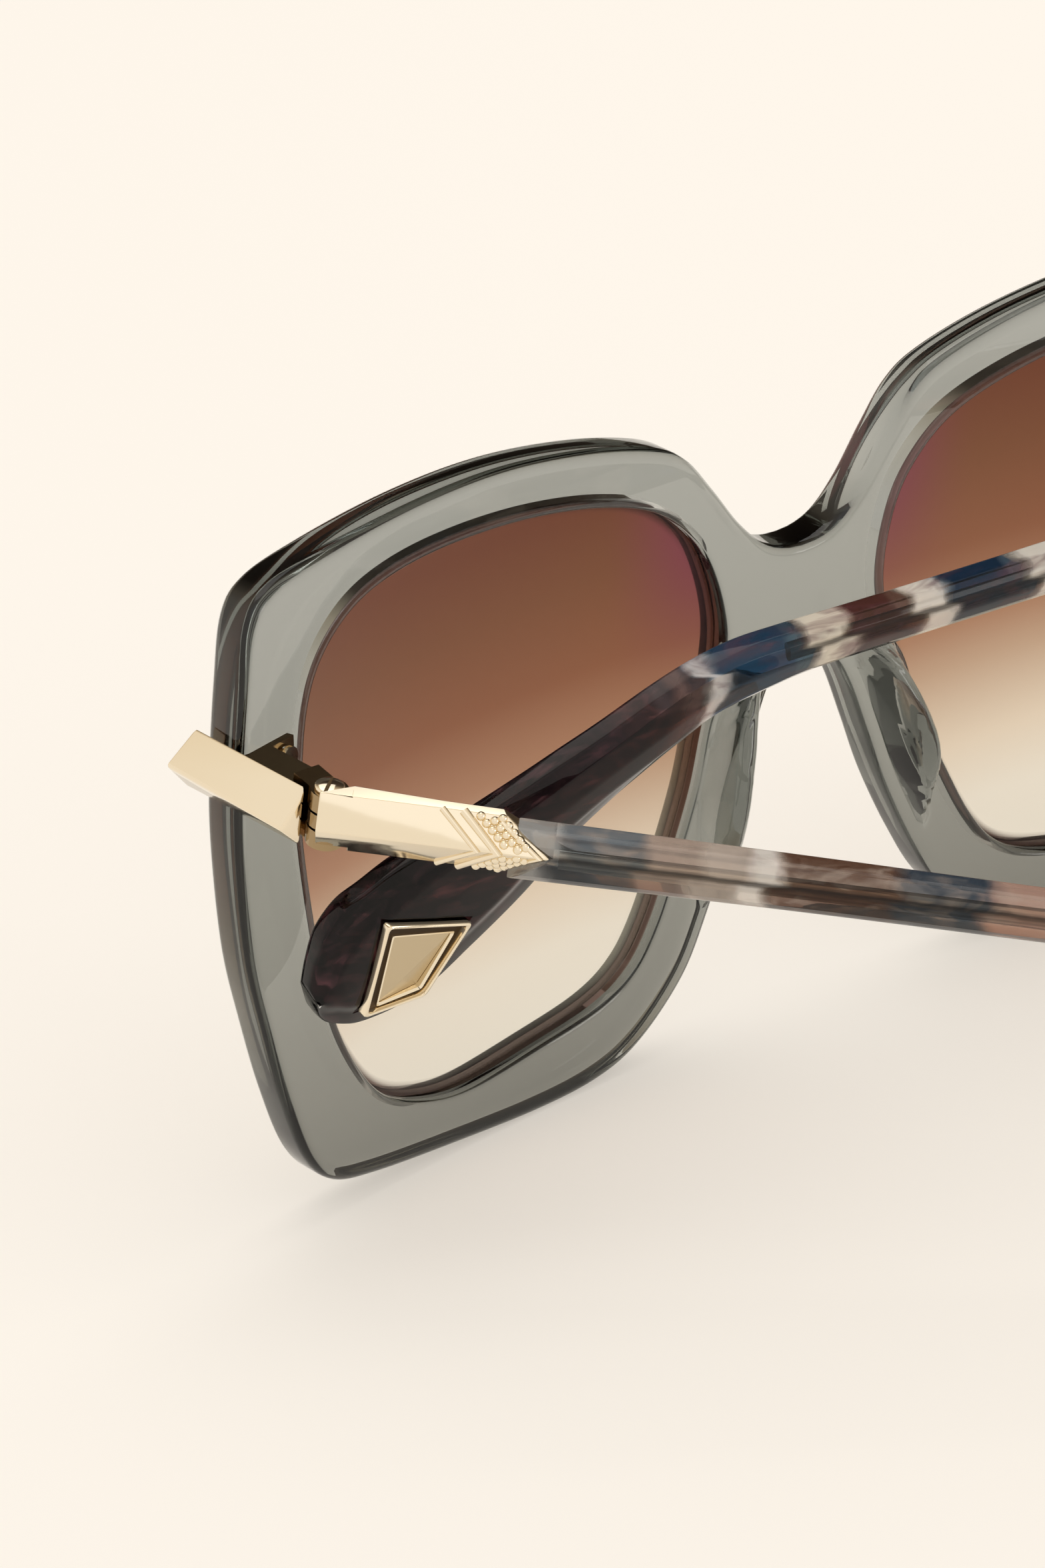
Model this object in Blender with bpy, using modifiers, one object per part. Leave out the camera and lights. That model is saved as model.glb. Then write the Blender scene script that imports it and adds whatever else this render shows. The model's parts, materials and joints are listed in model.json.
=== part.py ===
"""Square sunglasses with a translucent acetate front, gradient lenses and gold hinged arms.

Lengths are in metres. The wearer looks along -Y, X runs to the wearer's left and Z is up.
The sunglasses stand on the lower rims and on the tip of the left arm, with the right arm
folded flat and the left arm half way open.
"""

import math

import bmesh
import bpy
from mathutils import Matrix, Vector

# Front, measured flat and then wrapped round the face.
half_front = 0.071
brow_height = 0.0324
front_thickness = 0.005
wrap_radius = 0.244
edge_round = 0.0012
rim_centre_share = (0.507, 0.031)
rim_columns = 72
rim_steps = 10
bridge_columns = 3

# Outer outline of one half, as shares of half_front and brow_height.
rim_shares = (
    (0.0, 0.435), (0.051, 0.46), (0.093, 0.543), (0.138, 0.679), (0.18, 0.793),
    (0.232, 0.861), (0.345, 0.932), (0.493, 0.985), (0.648, 1.0), (0.817, 0.985),
    (0.918, 0.957), (0.961, 0.88), (0.98, 0.698), (0.997, 0.432), (1.0, 0.216),
    (0.989, -0.083), (0.963, -0.324), (0.932, -0.556), (0.894, -0.759), (0.845, -0.87),
    (0.769, -0.917), (0.634, -0.954), (0.479, -0.978), (0.366, -0.966), (0.289, -0.904),
    (0.214, -0.762), (0.168, -0.593), (0.125, -0.383), (0.097, -0.201), (0.07, -0.031),
    (0.045, 0.059), (0.0, 0.093),
)
# Lens opening, as shares of half_front and brow_height.
opening_shares = (
    (0.877, 0.201), (0.873, 0.37), (0.859, 0.556), (0.828, 0.685), (0.768, 0.781),
    (0.686, 0.824), (0.577, 0.83), (0.451, 0.806), (0.331, 0.753), (0.239, 0.676),
    (0.177, 0.556), (0.145, 0.42), (0.13, 0.247), (0.142, 0.077), (0.162, -0.019),
    (0.187, -0.204), (0.223, -0.389), (0.262, -0.562), (0.303, -0.673), (0.363, -0.738),
    (0.465, -0.775), (0.592, -0.799), (0.676, -0.769), (0.746, -0.694), (0.796, -0.559),
    (0.835, -0.37), (0.859, -0.123),
)

# Lens and the groove that holds it.
fit_gap = 0.0003
lens_thickness = 0.0018
lens_grip = 0.0005
lens_bulge = 0.002
groove_start = 0.0012
lens_rings = (1.0, 0.82, 0.58, 0.3)

# Moulded nose pads, as shares of half_front and brow_height.
pad_shares = (
    (0.094, 0.13), (0.117, -0.031), (0.137, -0.173), (0.148, -0.281), (0.154, -0.386),
    (0.169, -0.509),
)
pad_half_width = 0.0026
pad_width_shares = (0.6, 0.76, 0.92, 1.0, 0.98, 0.7)
pad_depth_share = 1.75
pad_back = 0.0006
pad_splay_share = 0.2

# Hinge: one upright pin on each side, leant by the tilt of the arms.
pin_set_in = 0.0017
pin_behind = 0.0124
pin_height_share = 0.4753
arm_tilt = math.radians(12)
barrel_radius = 0.0017
barrel_half_height = 0.0027
middle_half_height = 0.0007
screw_radius = 0.0007
screw_hole_radius = 0.00095
screw_head_radius = 0.0014
screw_head_height = 0.0006
hinge_clearance = 0.00025

# Front leaf, let into the back of the front.
leaf_plate_in = 0.003
leaf_half_width = 0.0027
leaf_half_height = 0.0015
leaf_thickness = 0.001
leaf_root_depth = 0.0017
leaf_arm_inner = 0.0019
leaf_arm_outer = 0.0015
leaf_arm_half_height = 0.0023
leaf_arm_start = 0.0105
leaf_arm_end = 0.0024
leaf_set_back = 0.002
web_half_width = 0.0013
web_end = 0.0012
rivet_offset = 0.0014
rivet_radius = 0.0006
rivet_hole_radius = 0.0009
rivet_head_radius = 0.001
rivet_head_height = 0.0004
rivet_depth = 0.0014

# Gold bar on the corner of the front, a roof section running back to the hinge.
bar_clear = 0.0001
bar_ridge_out = 0.0021
bar_top = 0.0022
bar_ridge_drop = 0.0003
bar_bottom = 0.0031
bar_ahead = 0.0022
bar_rear_gap = 0.001
metal_chamfer = 0.00015

# Arm: distances along it from the pin, out from the pin and up the pin.
cap_front = 0.0007
cap_neck = 0.00205
cap_inner = 0.0007
cap_side = 0.0015
cap_barrel_clear = 0.002
cap_ridge_out = 0.004
cap_ridge_up = 0.0008
cap_top = 0.0031
cap_back_top = 0.0034
cap_bottom = 0.0025
cap_tip = 0.019
cap_top_corner = 0.0147
cap_bottom_corner = 0.0151
rib_radius = 0.0003
band_radius = 0.00045
rib_top = 0.0098
rib_ridge = 0.0133
band_top = 0.0112
band_ridge = 0.0144
border_set_in = 0.0004
bead_radius = 0.0003
bead_offsets = (0.0011, 0.002, 0.0029)
bead_rows = 5
bead_bands = 4
bead_first_share = 0.6
bead_last_share = 0.15
bead_shift_share = 0.17

# Leaf on the arm's inner side.
arm_leaf_inner = 0.0006
arm_leaf_outer = 0.0004
arm_leaf_end = 0.0132
arm_leaf_half_height = 0.0021

# Acetate of the arm; its edges are shares of temple_length.
temple_length = 0.1364
temple_inner = 0.0006
temple_outer = 0.004
temple_bevel = 0.001
temple_bevel_drop = 0.0004
temple_side_drop = 0.0011
temple_round = 0.0005
temple_steps = 2
temple_top_shares = (
    (0.099, 0.0198), (0.2933, 0.0198), (0.4619, 0.0191), (0.5718, 0.0202),
    (0.6452, 0.0213), (0.6818, 0.0205), (0.7126, 0.0132), (0.7441, 0.0007),
    (0.783, -0.0176), (0.8138, -0.0301), (0.8431, -0.0418), (0.8908, -0.0587),
    (0.937, -0.0733), (0.9633, -0.0858), (0.9809, -0.0946), (0.9941, -0.1122),
    (0.9985, -0.1334), (1.0, -0.1525),
)
temple_bottom_shares = (
    (0.099, -0.0183), (0.2933, -0.0183), (0.4597, -0.0191), (0.5645, -0.0191),
    (0.6232, -0.0198), (0.6547, -0.0235), (0.6804, -0.0271), (0.7016, -0.0323),
    (0.7265, -0.0447), (0.7522, -0.0594), (0.7764, -0.074), (0.8065, -0.096),
    (0.8372, -0.1261), (0.8754, -0.1554), (0.9142, -0.1811), (0.9531, -0.1891),
    (0.9817, -0.1848), (0.9927, -0.173),
)
core_radius = 0.0007
core_bore_radius = 0.001
core_start = 0.0202
core_end = 0.088
core_out = 0.0023
core_up = 0.0001

# Plaque let into the outer face of each tip, as shares of temple_length.
plaque_shares = ((0.956, -0.1063), (0.8871, -0.1254), (0.9194, -0.173), (0.9677, -0.1752))
inlay_shares = ((0.9487, -0.1188), (0.8996, -0.1305), (0.9216, -0.1679), (0.956, -0.1708))
plaque_floor = 0.0031
bezel_top = 0.0046
inlay_top = 0.0041
inlay_crease = 0.0004
bezel_round = 0.0003

# Pose: how far each arm is turned in from fully open, and how far the front leans back.
left_fold = math.radians(48.5)
right_fold = math.radians(92)
lean = math.radians(1.856)

round_sides = 20
rib_sides = 6

# Places that follow from the sizes: the hinge and the bar stay with the front's edge.
pin_x = half_front - pin_set_in
pin_z = brow_height * pin_height_share
leaf_plate_x = pin_x - leaf_plate_in
leaf_plate_y = leaf_plate_x**2 / (2 * wrap_radius)
pin_y = leaf_plate_y + pin_behind
bar_inner_x = half_front + bar_clear
bar_front_y = half_front**2 / (2 * wrap_radius) - front_thickness - bar_ahead


def material(name, colour, roughness, metallic, transmission=0):
    made = bpy.data.materials.new(name)
    made.use_nodes = True
    shader = made.node_tree.nodes["Principled BSDF"]
    shader.inputs["Base Color"].default_value = (*colour, 1)
    shader.inputs["Roughness"].default_value = roughness
    shader.inputs["Metallic"].default_value = metallic
    shader.inputs["Transmission Weight"].default_value = transmission
    made.diffuse_color = (*colour, 1)
    return made


def empty(name, parent=None, location=(0, 0, 0), rotation=(0, 0, 0)):
    made = bpy.data.objects.new(name, None)
    made.empty_display_size = front_thickness
    made.location = location
    made.rotation_euler = rotation
    made.parent = parent
    model.objects.link(made)
    return made


def new_object(name, mesh, parent, finish=None):
    """A node of the model, or with no finish a helper for a Boolean."""
    made = bpy.data.objects.new(name, mesh)
    made.parent = parent
    if finish is None:
        cutters.objects.link(made)
        made.hide_render = True
        made.display_type = "WIRE"
    else:
        model.objects.link(made)
        mesh.materials.append(finish)
    return made


def mesh_from(name, bm):
    bmesh.ops.recalc_face_normals(bm, faces=bm.faces)
    if bm.calc_volume(signed=True) < 0:
        bmesh.ops.reverse_faces(bm, faces=bm.faces)
    made = bpy.data.meshes.new(name)
    bm.to_mesh(made)
    bm.free()
    return made


def box(name, low, high):
    bm = bmesh.new()
    bmesh.ops.create_cube(bm, size=1)
    low, high = Vector(low), Vector(high)
    size = high - low
    bmesh.ops.scale(bm, vec=size, verts=bm.verts)
    bmesh.ops.translate(bm, vec=(low + high) / 2, verts=bm.verts)
    return mesh_from(name, bm)


def rod(name, start, end, radius, sides=round_sides):
    """A cylinder between two points."""
    start, end = Vector(start), Vector(end)
    run = end - start
    turn = run.to_track_quat("Z", "Y").to_matrix().to_4x4()
    bm = bmesh.new()
    bmesh.ops.create_cone(
        bm,
        cap_ends=True,
        segments=sides,
        radius1=radius,
        radius2=radius,
        depth=run.length,
        matrix=Matrix.Translation((start + end) / 2) @ turn,
    )
    return mesh_from(name, bm)


def prism(name, outline, rise):
    """A flat outline drawn out by the vector rise."""
    bm = bmesh.new()
    face = bm.faces.new([bm.verts.new(point) for point in outline])
    drawn = bmesh.ops.extrude_face_region(bm, geom=[face])["geom"]
    moved = [item for item in drawn if isinstance(item, bmesh.types.BMVert)]
    bmesh.ops.translate(bm, vec=rise, verts=moved)
    return mesh_from(name, bm)


def skin(rings, closed=False):
    """A surface over rings of points. A ring may be one point, and open ends get a face."""
    bm = bmesh.new()
    rows = []
    for ring in rings:
        points = [ring] if isinstance(ring, Vector) else ring
        rows.append([bm.verts.new(point) for point in points])
    pairs = list(zip(rows, rows[1:]))
    if closed:
        pairs.append((rows[-1], rows[0]))
    for here, there in pairs:
        for i in range(max(len(here), len(there))):
            corners = (
                here[i % len(here)],
                here[(i + 1) % len(here)],
                there[(i + 1) % len(there)],
                there[i % len(there)],
            )
            bm.faces.new(list(dict.fromkeys(corners)))
    for end in (rows[0], rows[-1]):
        if not closed and len(end) > 1:
            bm.faces.new(end)
    return bm


def boolean(target, cutter, operation):
    step = target.modifiers.new(operation.title(), "BOOLEAN")
    step.operation = operation
    step.solver = "EXACT"
    step.object = cutter


def fuse(name, parent, finish, pieces):
    """The first mesh with the others joined to it."""
    made = new_object(name, pieces[0], parent, finish)
    for number, piece in enumerate(pieces[1:], 1):
        boolean(made, new_object(f"{name}_joined_{number}", piece, parent), "UNION")
    return made


def cut(target, piece, parent=None):
    boolean(target, new_object(piece.name, piece, parent or target.parent), "DIFFERENCE")


def chamfer(target, width, segments=1):
    step = target.modifiers.new("Chamfer", "BEVEL")
    step.width = width
    step.segments = segments
    step.limit_method = "ANGLE"
    step.angle_limit = math.radians(25)


def smooth(points, steps, closed=False):
    """Points along a smooth line through the given ones."""
    count = len(points)
    if closed:
        padded = [points[-1], *points, points[0], points[1]]
    else:
        padded = [points[0], *points, points[-1]]
        count -= 1
    line = []
    for i in range(count):
        a, b, c, d = padded[i : i + 4]
        for step in range(steps):
            t = step / steps
            bend = (2 * a - 5 * b + 4 * c - d) * t + (3 * b - a - 3 * c + d) * t * t
            line.append(b + ((c - a) * t + bend * t) / 2)
    if not closed:
        line.append(points[-1])
    return line


def front_points(shares):
    return [Vector((x * half_front, z * brow_height)) for x, z in shares]


def arm_points(shares):
    return [Vector((along, up)) * temple_length for along, up in shares]


rim_centre = Vector((half_front * rim_centre_share[0], brow_height * rim_centre_share[1]))


def polar(line):
    """Angle and distance of each point from the middle of the opening, by angle."""
    table = []
    for point in line:
        arm = point - rim_centre
        table.append((math.atan2(arm.y, arm.x) % math.tau, arm.length))
    table.sort()
    first, last = table[0], table[-1]
    return [(last[0] - math.tau, last[1]), *table, (first[0] + math.tau, first[1])]


def at_angle(table, angle):
    angle %= math.tau
    for (a, near), (b, far) in zip(table, table[1:]):
        if a <= angle <= b:
            share = (angle - a) / (b - a) if b > a else 0
            distance = near + (far - near) * share
            break
    return rim_centre + Vector((math.cos(angle), math.sin(angle))) * distance


def outward(table, angle):
    """The direction square to the outline, away from the middle of the opening."""
    step = math.tau / 360
    run = at_angle(table, angle + step) - at_angle(table, angle - step)
    return Vector((run.y, -run.x)).normalized()


def wrapped(point, depth):
    """A point of the flat front, depth below its back face, on the wrapped front."""
    return Vector((point.x, point.x**2 / (2 * wrap_radius) - depth, point.y))


def mirrored_start(points):
    """The outline of one half with its first and last points' mirror images added."""
    first = Vector((-points[1].x, points[1].y))
    last = Vector((-points[-2].x, points[-2].y))
    return [first, *points, last]


half_outline = front_points(rim_shares)
whole_outline = smooth(mirrored_start(half_outline), rim_steps)[rim_steps:-rim_steps]
rim_table = polar(whole_outline)
opening_table = polar(smooth(front_points(opening_shares), rim_steps, closed=True))
bridge_top = half_outline[0].y
bridge_bottom = half_outline[-1].y


def rim_columns_list():
    """Outer point, its outward direction and the angle, round one half of the front."""
    top = (Vector((0, bridge_top)) - rim_centre).to_tuple()
    low = (Vector((0, bridge_bottom)) - rim_centre).to_tuple()
    start = math.atan2(top[1], top[0])
    end = math.atan2(low[1], low[0]) - math.tau
    columns = [(Vector((0, bridge_top)), Vector((0, 1)), start)]
    # Even steps round the opening's edge keep the columns square to it at its corners.
    ahead = [at_angle(opening_table, start + (end - start) * i / 720) for i in range(721)]
    length = [0]
    for a, b in zip(ahead, ahead[1:]):
        length.append(length[-1] + (b - a).length)
    for i in range(1, rim_columns):
        goal = length[-1] * i / rim_columns
        place = next(k for k, value in enumerate(length) if value >= goal)
        angle = start + (end - start) * place / 720
        point = at_angle(rim_table, angle)
        columns.append((point, outward(rim_table, angle), angle))
    columns.append((Vector((0, bridge_bottom)), Vector((0, -1)), end))
    low_z = bridge_bottom + 2 * edge_round
    high_z = bridge_top - 2 * edge_round
    for i in range(bridge_columns):
        z = low_z + (high_z - low_z) * i / (bridge_columns - 1)
        arm = Vector((0, z)) - rim_centre
        columns.append((Vector((0, z)), Vector((0, 0)), math.atan2(arm.y, arm.x)))
    return columns


def front_mesh():
    """One half of the front, with rounded edges and the lens groove, open at the middle."""
    groove_end = groove_start + lens_thickness + 2 * fit_gap
    groove_depth = lens_grip + fit_gap
    small = edge_round * 0.3
    rings = []
    for outer, away, angle in rim_columns_list():
        inner = at_angle(opening_table, angle)
        into = outward(opening_table, angle)
        middle = (inner + outer) / 2
        deep = front_thickness
        section = (
            (inner + into * small, 0),
            (middle, 0),
            (outer - away * edge_round, 0),
            (outer - away * small, small),
            (outer, edge_round),
            (outer, deep - edge_round),
            (outer - away * small, deep - small),
            (outer - away * edge_round, deep),
            (middle, deep),
            (inner + into * small, deep),
            (inner, deep - small),
            (inner, groove_end),
            (inner + into * groove_depth, groove_end),
            (inner + into * groove_depth, groove_start),
            (inner, groove_start),
            (inner, small),
        )
        rings.append([wrapped(point, depth) for point, depth in section])
    bm = skin(rings, closed=True)
    middle_faces = [f for f in bm.faces if all(v.co.x < fit_gap / 10 for v in f.verts)]
    bmesh.ops.delete(bm, geom=middle_faces, context="FACES")
    return mesh_from("front_half", bm)


def pad_mesh(side):
    """A moulded nose pad, a tapering ridge along the inner edge of the rim."""
    line = smooth(front_points(pad_shares), 3)
    widths = smooth([Vector((share, 0)) for share in pad_width_shares], 3)
    curve = bpy.data.curves.new("pad_line", "CURVE")
    curve.dimensions = "3D"
    curve.bevel_depth = pad_half_width
    curve.bevel_resolution = 2
    curve.use_fill_caps = True
    spline = curve.splines.new("POLY")
    spline.points.add(len(line) - 1)
    for place, point, width in zip(spline.points, line, widths):
        place.co = (point.x, 0, point.y, 1)
        place.radius = width.x
    guide = bpy.data.objects.new("pad_line", curve)
    cutters.objects.link(guide)
    bpy.context.view_layer.update()
    graph = bpy.context.evaluated_depsgraph_get()
    shape = bpy.data.meshes.new_from_object(guide.evaluated_get(graph))
    bpy.data.objects.remove(guide)
    bm = bmesh.new()
    bm.from_mesh(shape)
    bmesh.ops.remove_doubles(bm, verts=bm.verts, dist=fit_gap / 30)
    for vert in bm.verts:
        back = vert.co.y * pad_depth_share + pad_back
        vert.co.x = (vert.co.x + back * pad_splay_share) * side
        vert.co.y = back
    return mesh_from(f"pad_{side}", bm)


def lens_mesh():
    """A lens that fills the opening and the groove, bulging away from the face."""
    rings = []
    angles = [math.tau * i / rim_columns for i in range(rim_columns)]
    edge = []
    for angle in angles:
        inner = at_angle(opening_table, angle)
        edge.append(inner + outward(opening_table, angle) * lens_grip)
    back = groove_start + fit_gap
    front = back + lens_thickness
    for depth, shares in ((back, lens_rings[::-1]), (front, lens_rings)):
        for share in shares:
            bulge = lens_bulge * (1 - share**2)
            ring = []
            for point in edge:
                ring.append(wrapped(rim_centre + (point - rim_centre) * share, depth + bulge))
            rings.append(ring)
    rings.insert(0, wrapped(rim_centre, back + lens_bulge))
    rings.append(wrapped(rim_centre, front + lens_bulge))
    return mesh_from("lens", skin(rings))


def temple_mesh():
    """The acetate arm, from behind the cap to the tip, thinned towards its edges."""
    tops = smooth(arm_points(temple_top_shares), temple_steps)
    bottoms = smooth(arm_points(temple_bottom_shares), temple_steps)
    rings = []
    for top, bottom in zip(tops, bottoms):
        height = (top - bottom).length
        across = (top - bottom).normalized()
        bevel = min(temple_bevel, height / 4)
        round_off = min(temple_round, height / 4)
        section = (
            (round_off, temple_inner),
            (height - round_off, temple_inner),
            (height, temple_inner + temple_round),
            (height, temple_outer - temple_side_drop),
            (height - bevel, temple_outer - temple_bevel_drop),
            (height / 2, temple_outer),
            (bevel, temple_outer - temple_bevel_drop),
            (0, temple_outer - temple_side_drop),
            (0, temple_inner + temple_round),
        )
        ring = []
        for along, out in section:
            point = bottom + across * along
            ring.append(Vector((out, point.x, point.y)))
        rings.append(ring)
    return mesh_from("temple", skin(rings))


def upper_facet(up):
    """How far out the cap's upper facet lies at a height."""
    return cap_ridge_out - (cap_ridge_out - cap_side) * (up - cap_ridge_up) / (
        cap_top - cap_ridge_up
    )


def lower_facet(up):
    return cap_ridge_out - (cap_ridge_out - cap_side) * (cap_ridge_up - up) / (
        cap_ridge_up + cap_bottom
    )


def on_cap(along, up):
    out = upper_facet(up) if up > cap_ridge_up else lower_facet(up)
    return Vector((out, along, up))


def cap_mesh():
    """The cap's roof section, cut to an arrow head at the rear."""
    section = (
        (cap_inner, -cap_bottom),
        (cap_side, -cap_bottom),
        (cap_ridge_out, cap_ridge_up),
        (cap_side, cap_top),
        (cap_inner, cap_back_top),
    )
    outline = [(out, -cap_front, up) for out, up in section]
    shape = prism("cap_roof", outline, (0, cap_front + cap_tip, 0))
    bm = bmesh.new()
    bm.from_mesh(shape)
    for corner, up, turn in (
        (cap_top_corner, cap_top, 1),
        (cap_bottom_corner, -cap_bottom, -1),
    ):
        run = Vector((0, cap_tip - corner, cap_ridge_up - up))
        away = run.cross(Vector((turn, 0, 0)))
        if away.y < 0:
            away.negate()
        found = bmesh.ops.bisect_plane(
            bm,
            geom=[*bm.verts, *bm.edges, *bm.faces],
            plane_co=(0, cap_tip, cap_ridge_up),
            plane_no=away,
            clear_outer=True,
        )
        rim = [item for item in found["geom_cut"] if isinstance(item, bmesh.types.BMEdge)]
        bmesh.ops.contextual_create(bm, geom=rim)
    bmesh.ops.remove_doubles(bm, verts=bm.verts, dist=fit_gap / 30)
    return mesh_from("cap_roof", bm)


def beads_mesh():
    """Slanted rows of small beads on both facets, between the band and the border."""
    bm = bmesh.new()
    end = Vector((band_ridge, cap_ridge_up))
    whole = bead_rows + bead_first_share + bead_last_share
    for corner in ((band_top, cap_top), (band_top, -cap_bottom)):
        start = Vector(corner)
        for column, offset in enumerate(bead_offsets):
            for row in range(bead_rows):
                share = (row + bead_first_share + column * bead_shift_share) / whole
                place = start.lerp(end, share) + Vector((offset, 0))
                matrix = Matrix.Translation(on_cap(place.x, place.y))
                bmesh.ops.create_uvsphere(
                    bm,
                    u_segments=rib_sides,
                    v_segments=bead_bands,
                    radius=bead_radius,
                    matrix=matrix,
                )
    return mesh_from("beads", bm)


def chevron_mesh(name, corner_share, top, ridge, low, radius):
    """A thin round rib that runs over the cap's ridge, from its top edge to its bottom edge."""
    line = [on_cap(*top), on_cap(*ridge), on_cap(*low)]
    rings = []
    for i, point in enumerate(line):
        run = (line[min(i + 1, len(line) - 1)] - line[max(i - 1, 0)]).normalized()
        away = Vector((1, 0, 0))
        away = (away - run * away.dot(run)).normalized()
        across = run.cross(away)
        ring = []
        for side in range(rib_sides):
            angle = math.tau * (side + corner_share) / rib_sides
            ring.append(point + (away * math.cos(angle) + across * math.sin(angle)) * radius)
        rings.append(ring)
    return mesh_from(name, skin(rings))


def arm_outline(points, out):
    return [Vector((out, point.x, point.y)) for point in points]


def grown(points, amount):
    """A four-sided outline with each side moved out by the amount."""
    middle = sum(points, Vector((0, 0))) / len(points)
    lines = []
    for a, b in zip(points, points[1:] + points[:1]):
        run = (b - a).normalized()
        away = Vector((run.y, -run.x))
        if away.dot(a - middle) < 0:
            away.negate()
        lines.append((a + away * amount, run))
    moved = []
    for (p, u), (q, v) in zip(lines[-1:] + lines[:-1], lines):
        share = (q - p).cross(v) / u.cross(v)
        moved.append(p + u * share)
    return moved


def evaluated(piece):
    bpy.context.view_layer.update()
    graph = bpy.context.evaluated_depsgraph_get()
    return bpy.data.meshes.new_from_object(piece.evaluated_get(graph))


def twin(piece, name, parent):
    """The mirror image of a left piece, for the right side."""
    mesh = evaluated(piece)
    flip = Matrix.Diagonal((-1, 1, 1, 1))
    mesh.transform(flip)
    mesh.flip_normals()
    made = bpy.data.objects.new(name, mesh)
    made.parent = parent
    made.matrix_local = flip @ piece.matrix_local @ flip
    model.objects.link(made)
    return made


for old in list(bpy.data.objects):
    bpy.data.objects.remove(old, do_unlink=True)
model = bpy.data.collections.new("square_sunglasses")
cutters = bpy.data.collections.new("sunglasses_cutters")
bpy.context.scene.collection.children.link(model)
bpy.context.scene.collection.children.link(cutters)
cutters.hide_render = True

grey_acetate = material("grey_acetate", (0.21, 0.24, 0.235), 0.08, 0, 0.6)
havana_acetate = material("mottled_acetate", (0.12, 0.085, 0.1), 0.08, 0, 0.3)
brown_lens = material("brown_gradient_lens", (0.32, 0.17, 0.11), 0.03, 0, 0.5)
pale_gold = material("pale_gold_plating", (0.86, 0.75, 0.54), 0.12, 1)
hinge_metal = material("hinge_metal", (0.42, 0.36, 0.28), 0.25, 1)
wire_metal = material("nickel_silver_wire", (0.5, 0.46, 0.4), 0.3, 1)
brushed_gold = material("brushed_pale_gold", (0.78, 0.69, 0.5), 0.35, 1)

stand = empty("stand", rotation=(-lean, 0, 0))
hinges, folds = {}, {}
for side, mirror, fold in (("left", 1, left_fold), ("right", -1, right_fold)):
    at = (pin_x * mirror, pin_y, pin_z)
    hinges[side] = empty(f"hinge_{side}", stand, at, (-arm_tilt, 0, 0))
    folds[side] = empty(f"fold_{side}", hinges[side], rotation=(0, 0, fold * mirror))

# Front with its nose pads.
front = new_object("front_frame", front_mesh(), stand, grey_acetate)
mirror_step = front.modifiers.new("Mirror", "MIRROR")
mirror_step.use_clip = True
mirror_step.merge_threshold = fit_gap / 30
for side in (1, -1):
    boolean(front, new_object(f"pad_{side}", pad_mesh(side), stand), "UNION")

# Pocket and rivet hole for the front leaf, square to the wrapped back face.
slope = math.atan(leaf_plate_x / wrap_radius)
plate_at = Vector((leaf_plate_x, leaf_plate_y, pin_z))
for side in (1, -1):
    name = "left" if side > 0 else "right"
    seat_at = Vector((plate_at.x * side, plate_at.y, plate_at.z))
    seat = empty(f"leaf_seat_{name}", stand, seat_at, (0, 0, slope * side))
    half = leaf_thickness / 2
    ends = sorted((-(leaf_half_width + fit_gap) * side, (leaf_half_width + fit_gap) * side))
    pocket = box(
        f"leaf_pocket_{name}",
        (ends[0], -half - fit_gap, -leaf_half_height - fit_gap),
        (ends[1], front_thickness, leaf_half_height + fit_gap),
    )
    cut(front, pocket, seat)
    hole = rod(
        f"rivet_hole_{name}",
        (-rivet_offset * side, front_thickness, 0),
        (-rivet_offset * side, -half - rivet_depth - fit_gap, 0),
        rivet_hole_radius,
    )
    cut(front, hole, seat)
    if side > 0:
        left_seat = seat

lens = new_object("lens_left", lens_mesh(), stand, brown_lens)

# Gold bar. Its rear end is square to the arm, so the closed joint line leans with the pin.
bar_outline = (
    (bar_inner_x, bar_front_y, pin_z - bar_bottom),
    (bar_inner_x + bar_ridge_out, bar_front_y, pin_z - bar_ridge_drop),
    (bar_inner_x, bar_front_y, pin_z + bar_top),
)
bar_mesh = prism("endpiece_bar", bar_outline, (0, pin_y - bar_rear_gap - bar_front_y, 0))
for vert in bar_mesh.vertices:
    if vert.co.y > bar_front_y + fit_gap:
        vert.co.y += (vert.co.z - pin_z) * math.tan(arm_tilt)
bar = new_object("endpiece_bar_left", bar_mesh, stand, pale_gold)
chamfer(bar, metal_chamfer)

# Front leaf: plate in the pocket, arm beside the bar and two outer knuckles.
half = leaf_thickness / 2
plate = box(
    "leaf_plate",
    (-leaf_half_width, -half, -leaf_half_height),
    (leaf_half_width, half, leaf_half_height),
)
root = box(
    "leaf_root",
    (leaf_half_width / 3, -half, -leaf_half_height),
    (leaf_half_width, leaf_root_depth, leaf_half_height),
)
front_leaf = fuse("front_leaf_left", left_seat, hinge_metal, [plate, root])
arm = box(
    "leaf_arm",
    (
        pin_x - leaf_arm_inner,
        pin_y - leaf_arm_start,
        pin_z - leaf_arm_half_height,
    ),
    (
        pin_x + leaf_arm_outer,
        pin_y - leaf_arm_end,
        pin_z + leaf_arm_half_height,
    ),
)
boolean(front_leaf, new_object("leaf_arm", arm, stand), "UNION")
web_block = box(
    "leaf_web",
    (-web_half_width, -leaf_arm_end - leaf_thickness, -barrel_half_height),
    (web_half_width, -leaf_set_back, barrel_half_height),
)
barrel = [web_block]
outer_from = middle_half_height + hinge_clearance
for name, low, high in (
    ("upper", outer_from, barrel_half_height),
    ("lower", -barrel_half_height, -outer_from),
):
    barrel.append(rod(f"knuckle_{name}", (0, 0, low), (0, 0, high), barrel_radius))
    web = box(
        f"knuckle_web_{name}",
        (-web_half_width, -leaf_set_back - leaf_thickness / 2, low),
        (web_half_width, -web_end, high),
    )
    barrel.append(web)
boolean(front_leaf, fuse("leaf_barrel", hinges["left"], None, barrel), "UNION")
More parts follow.
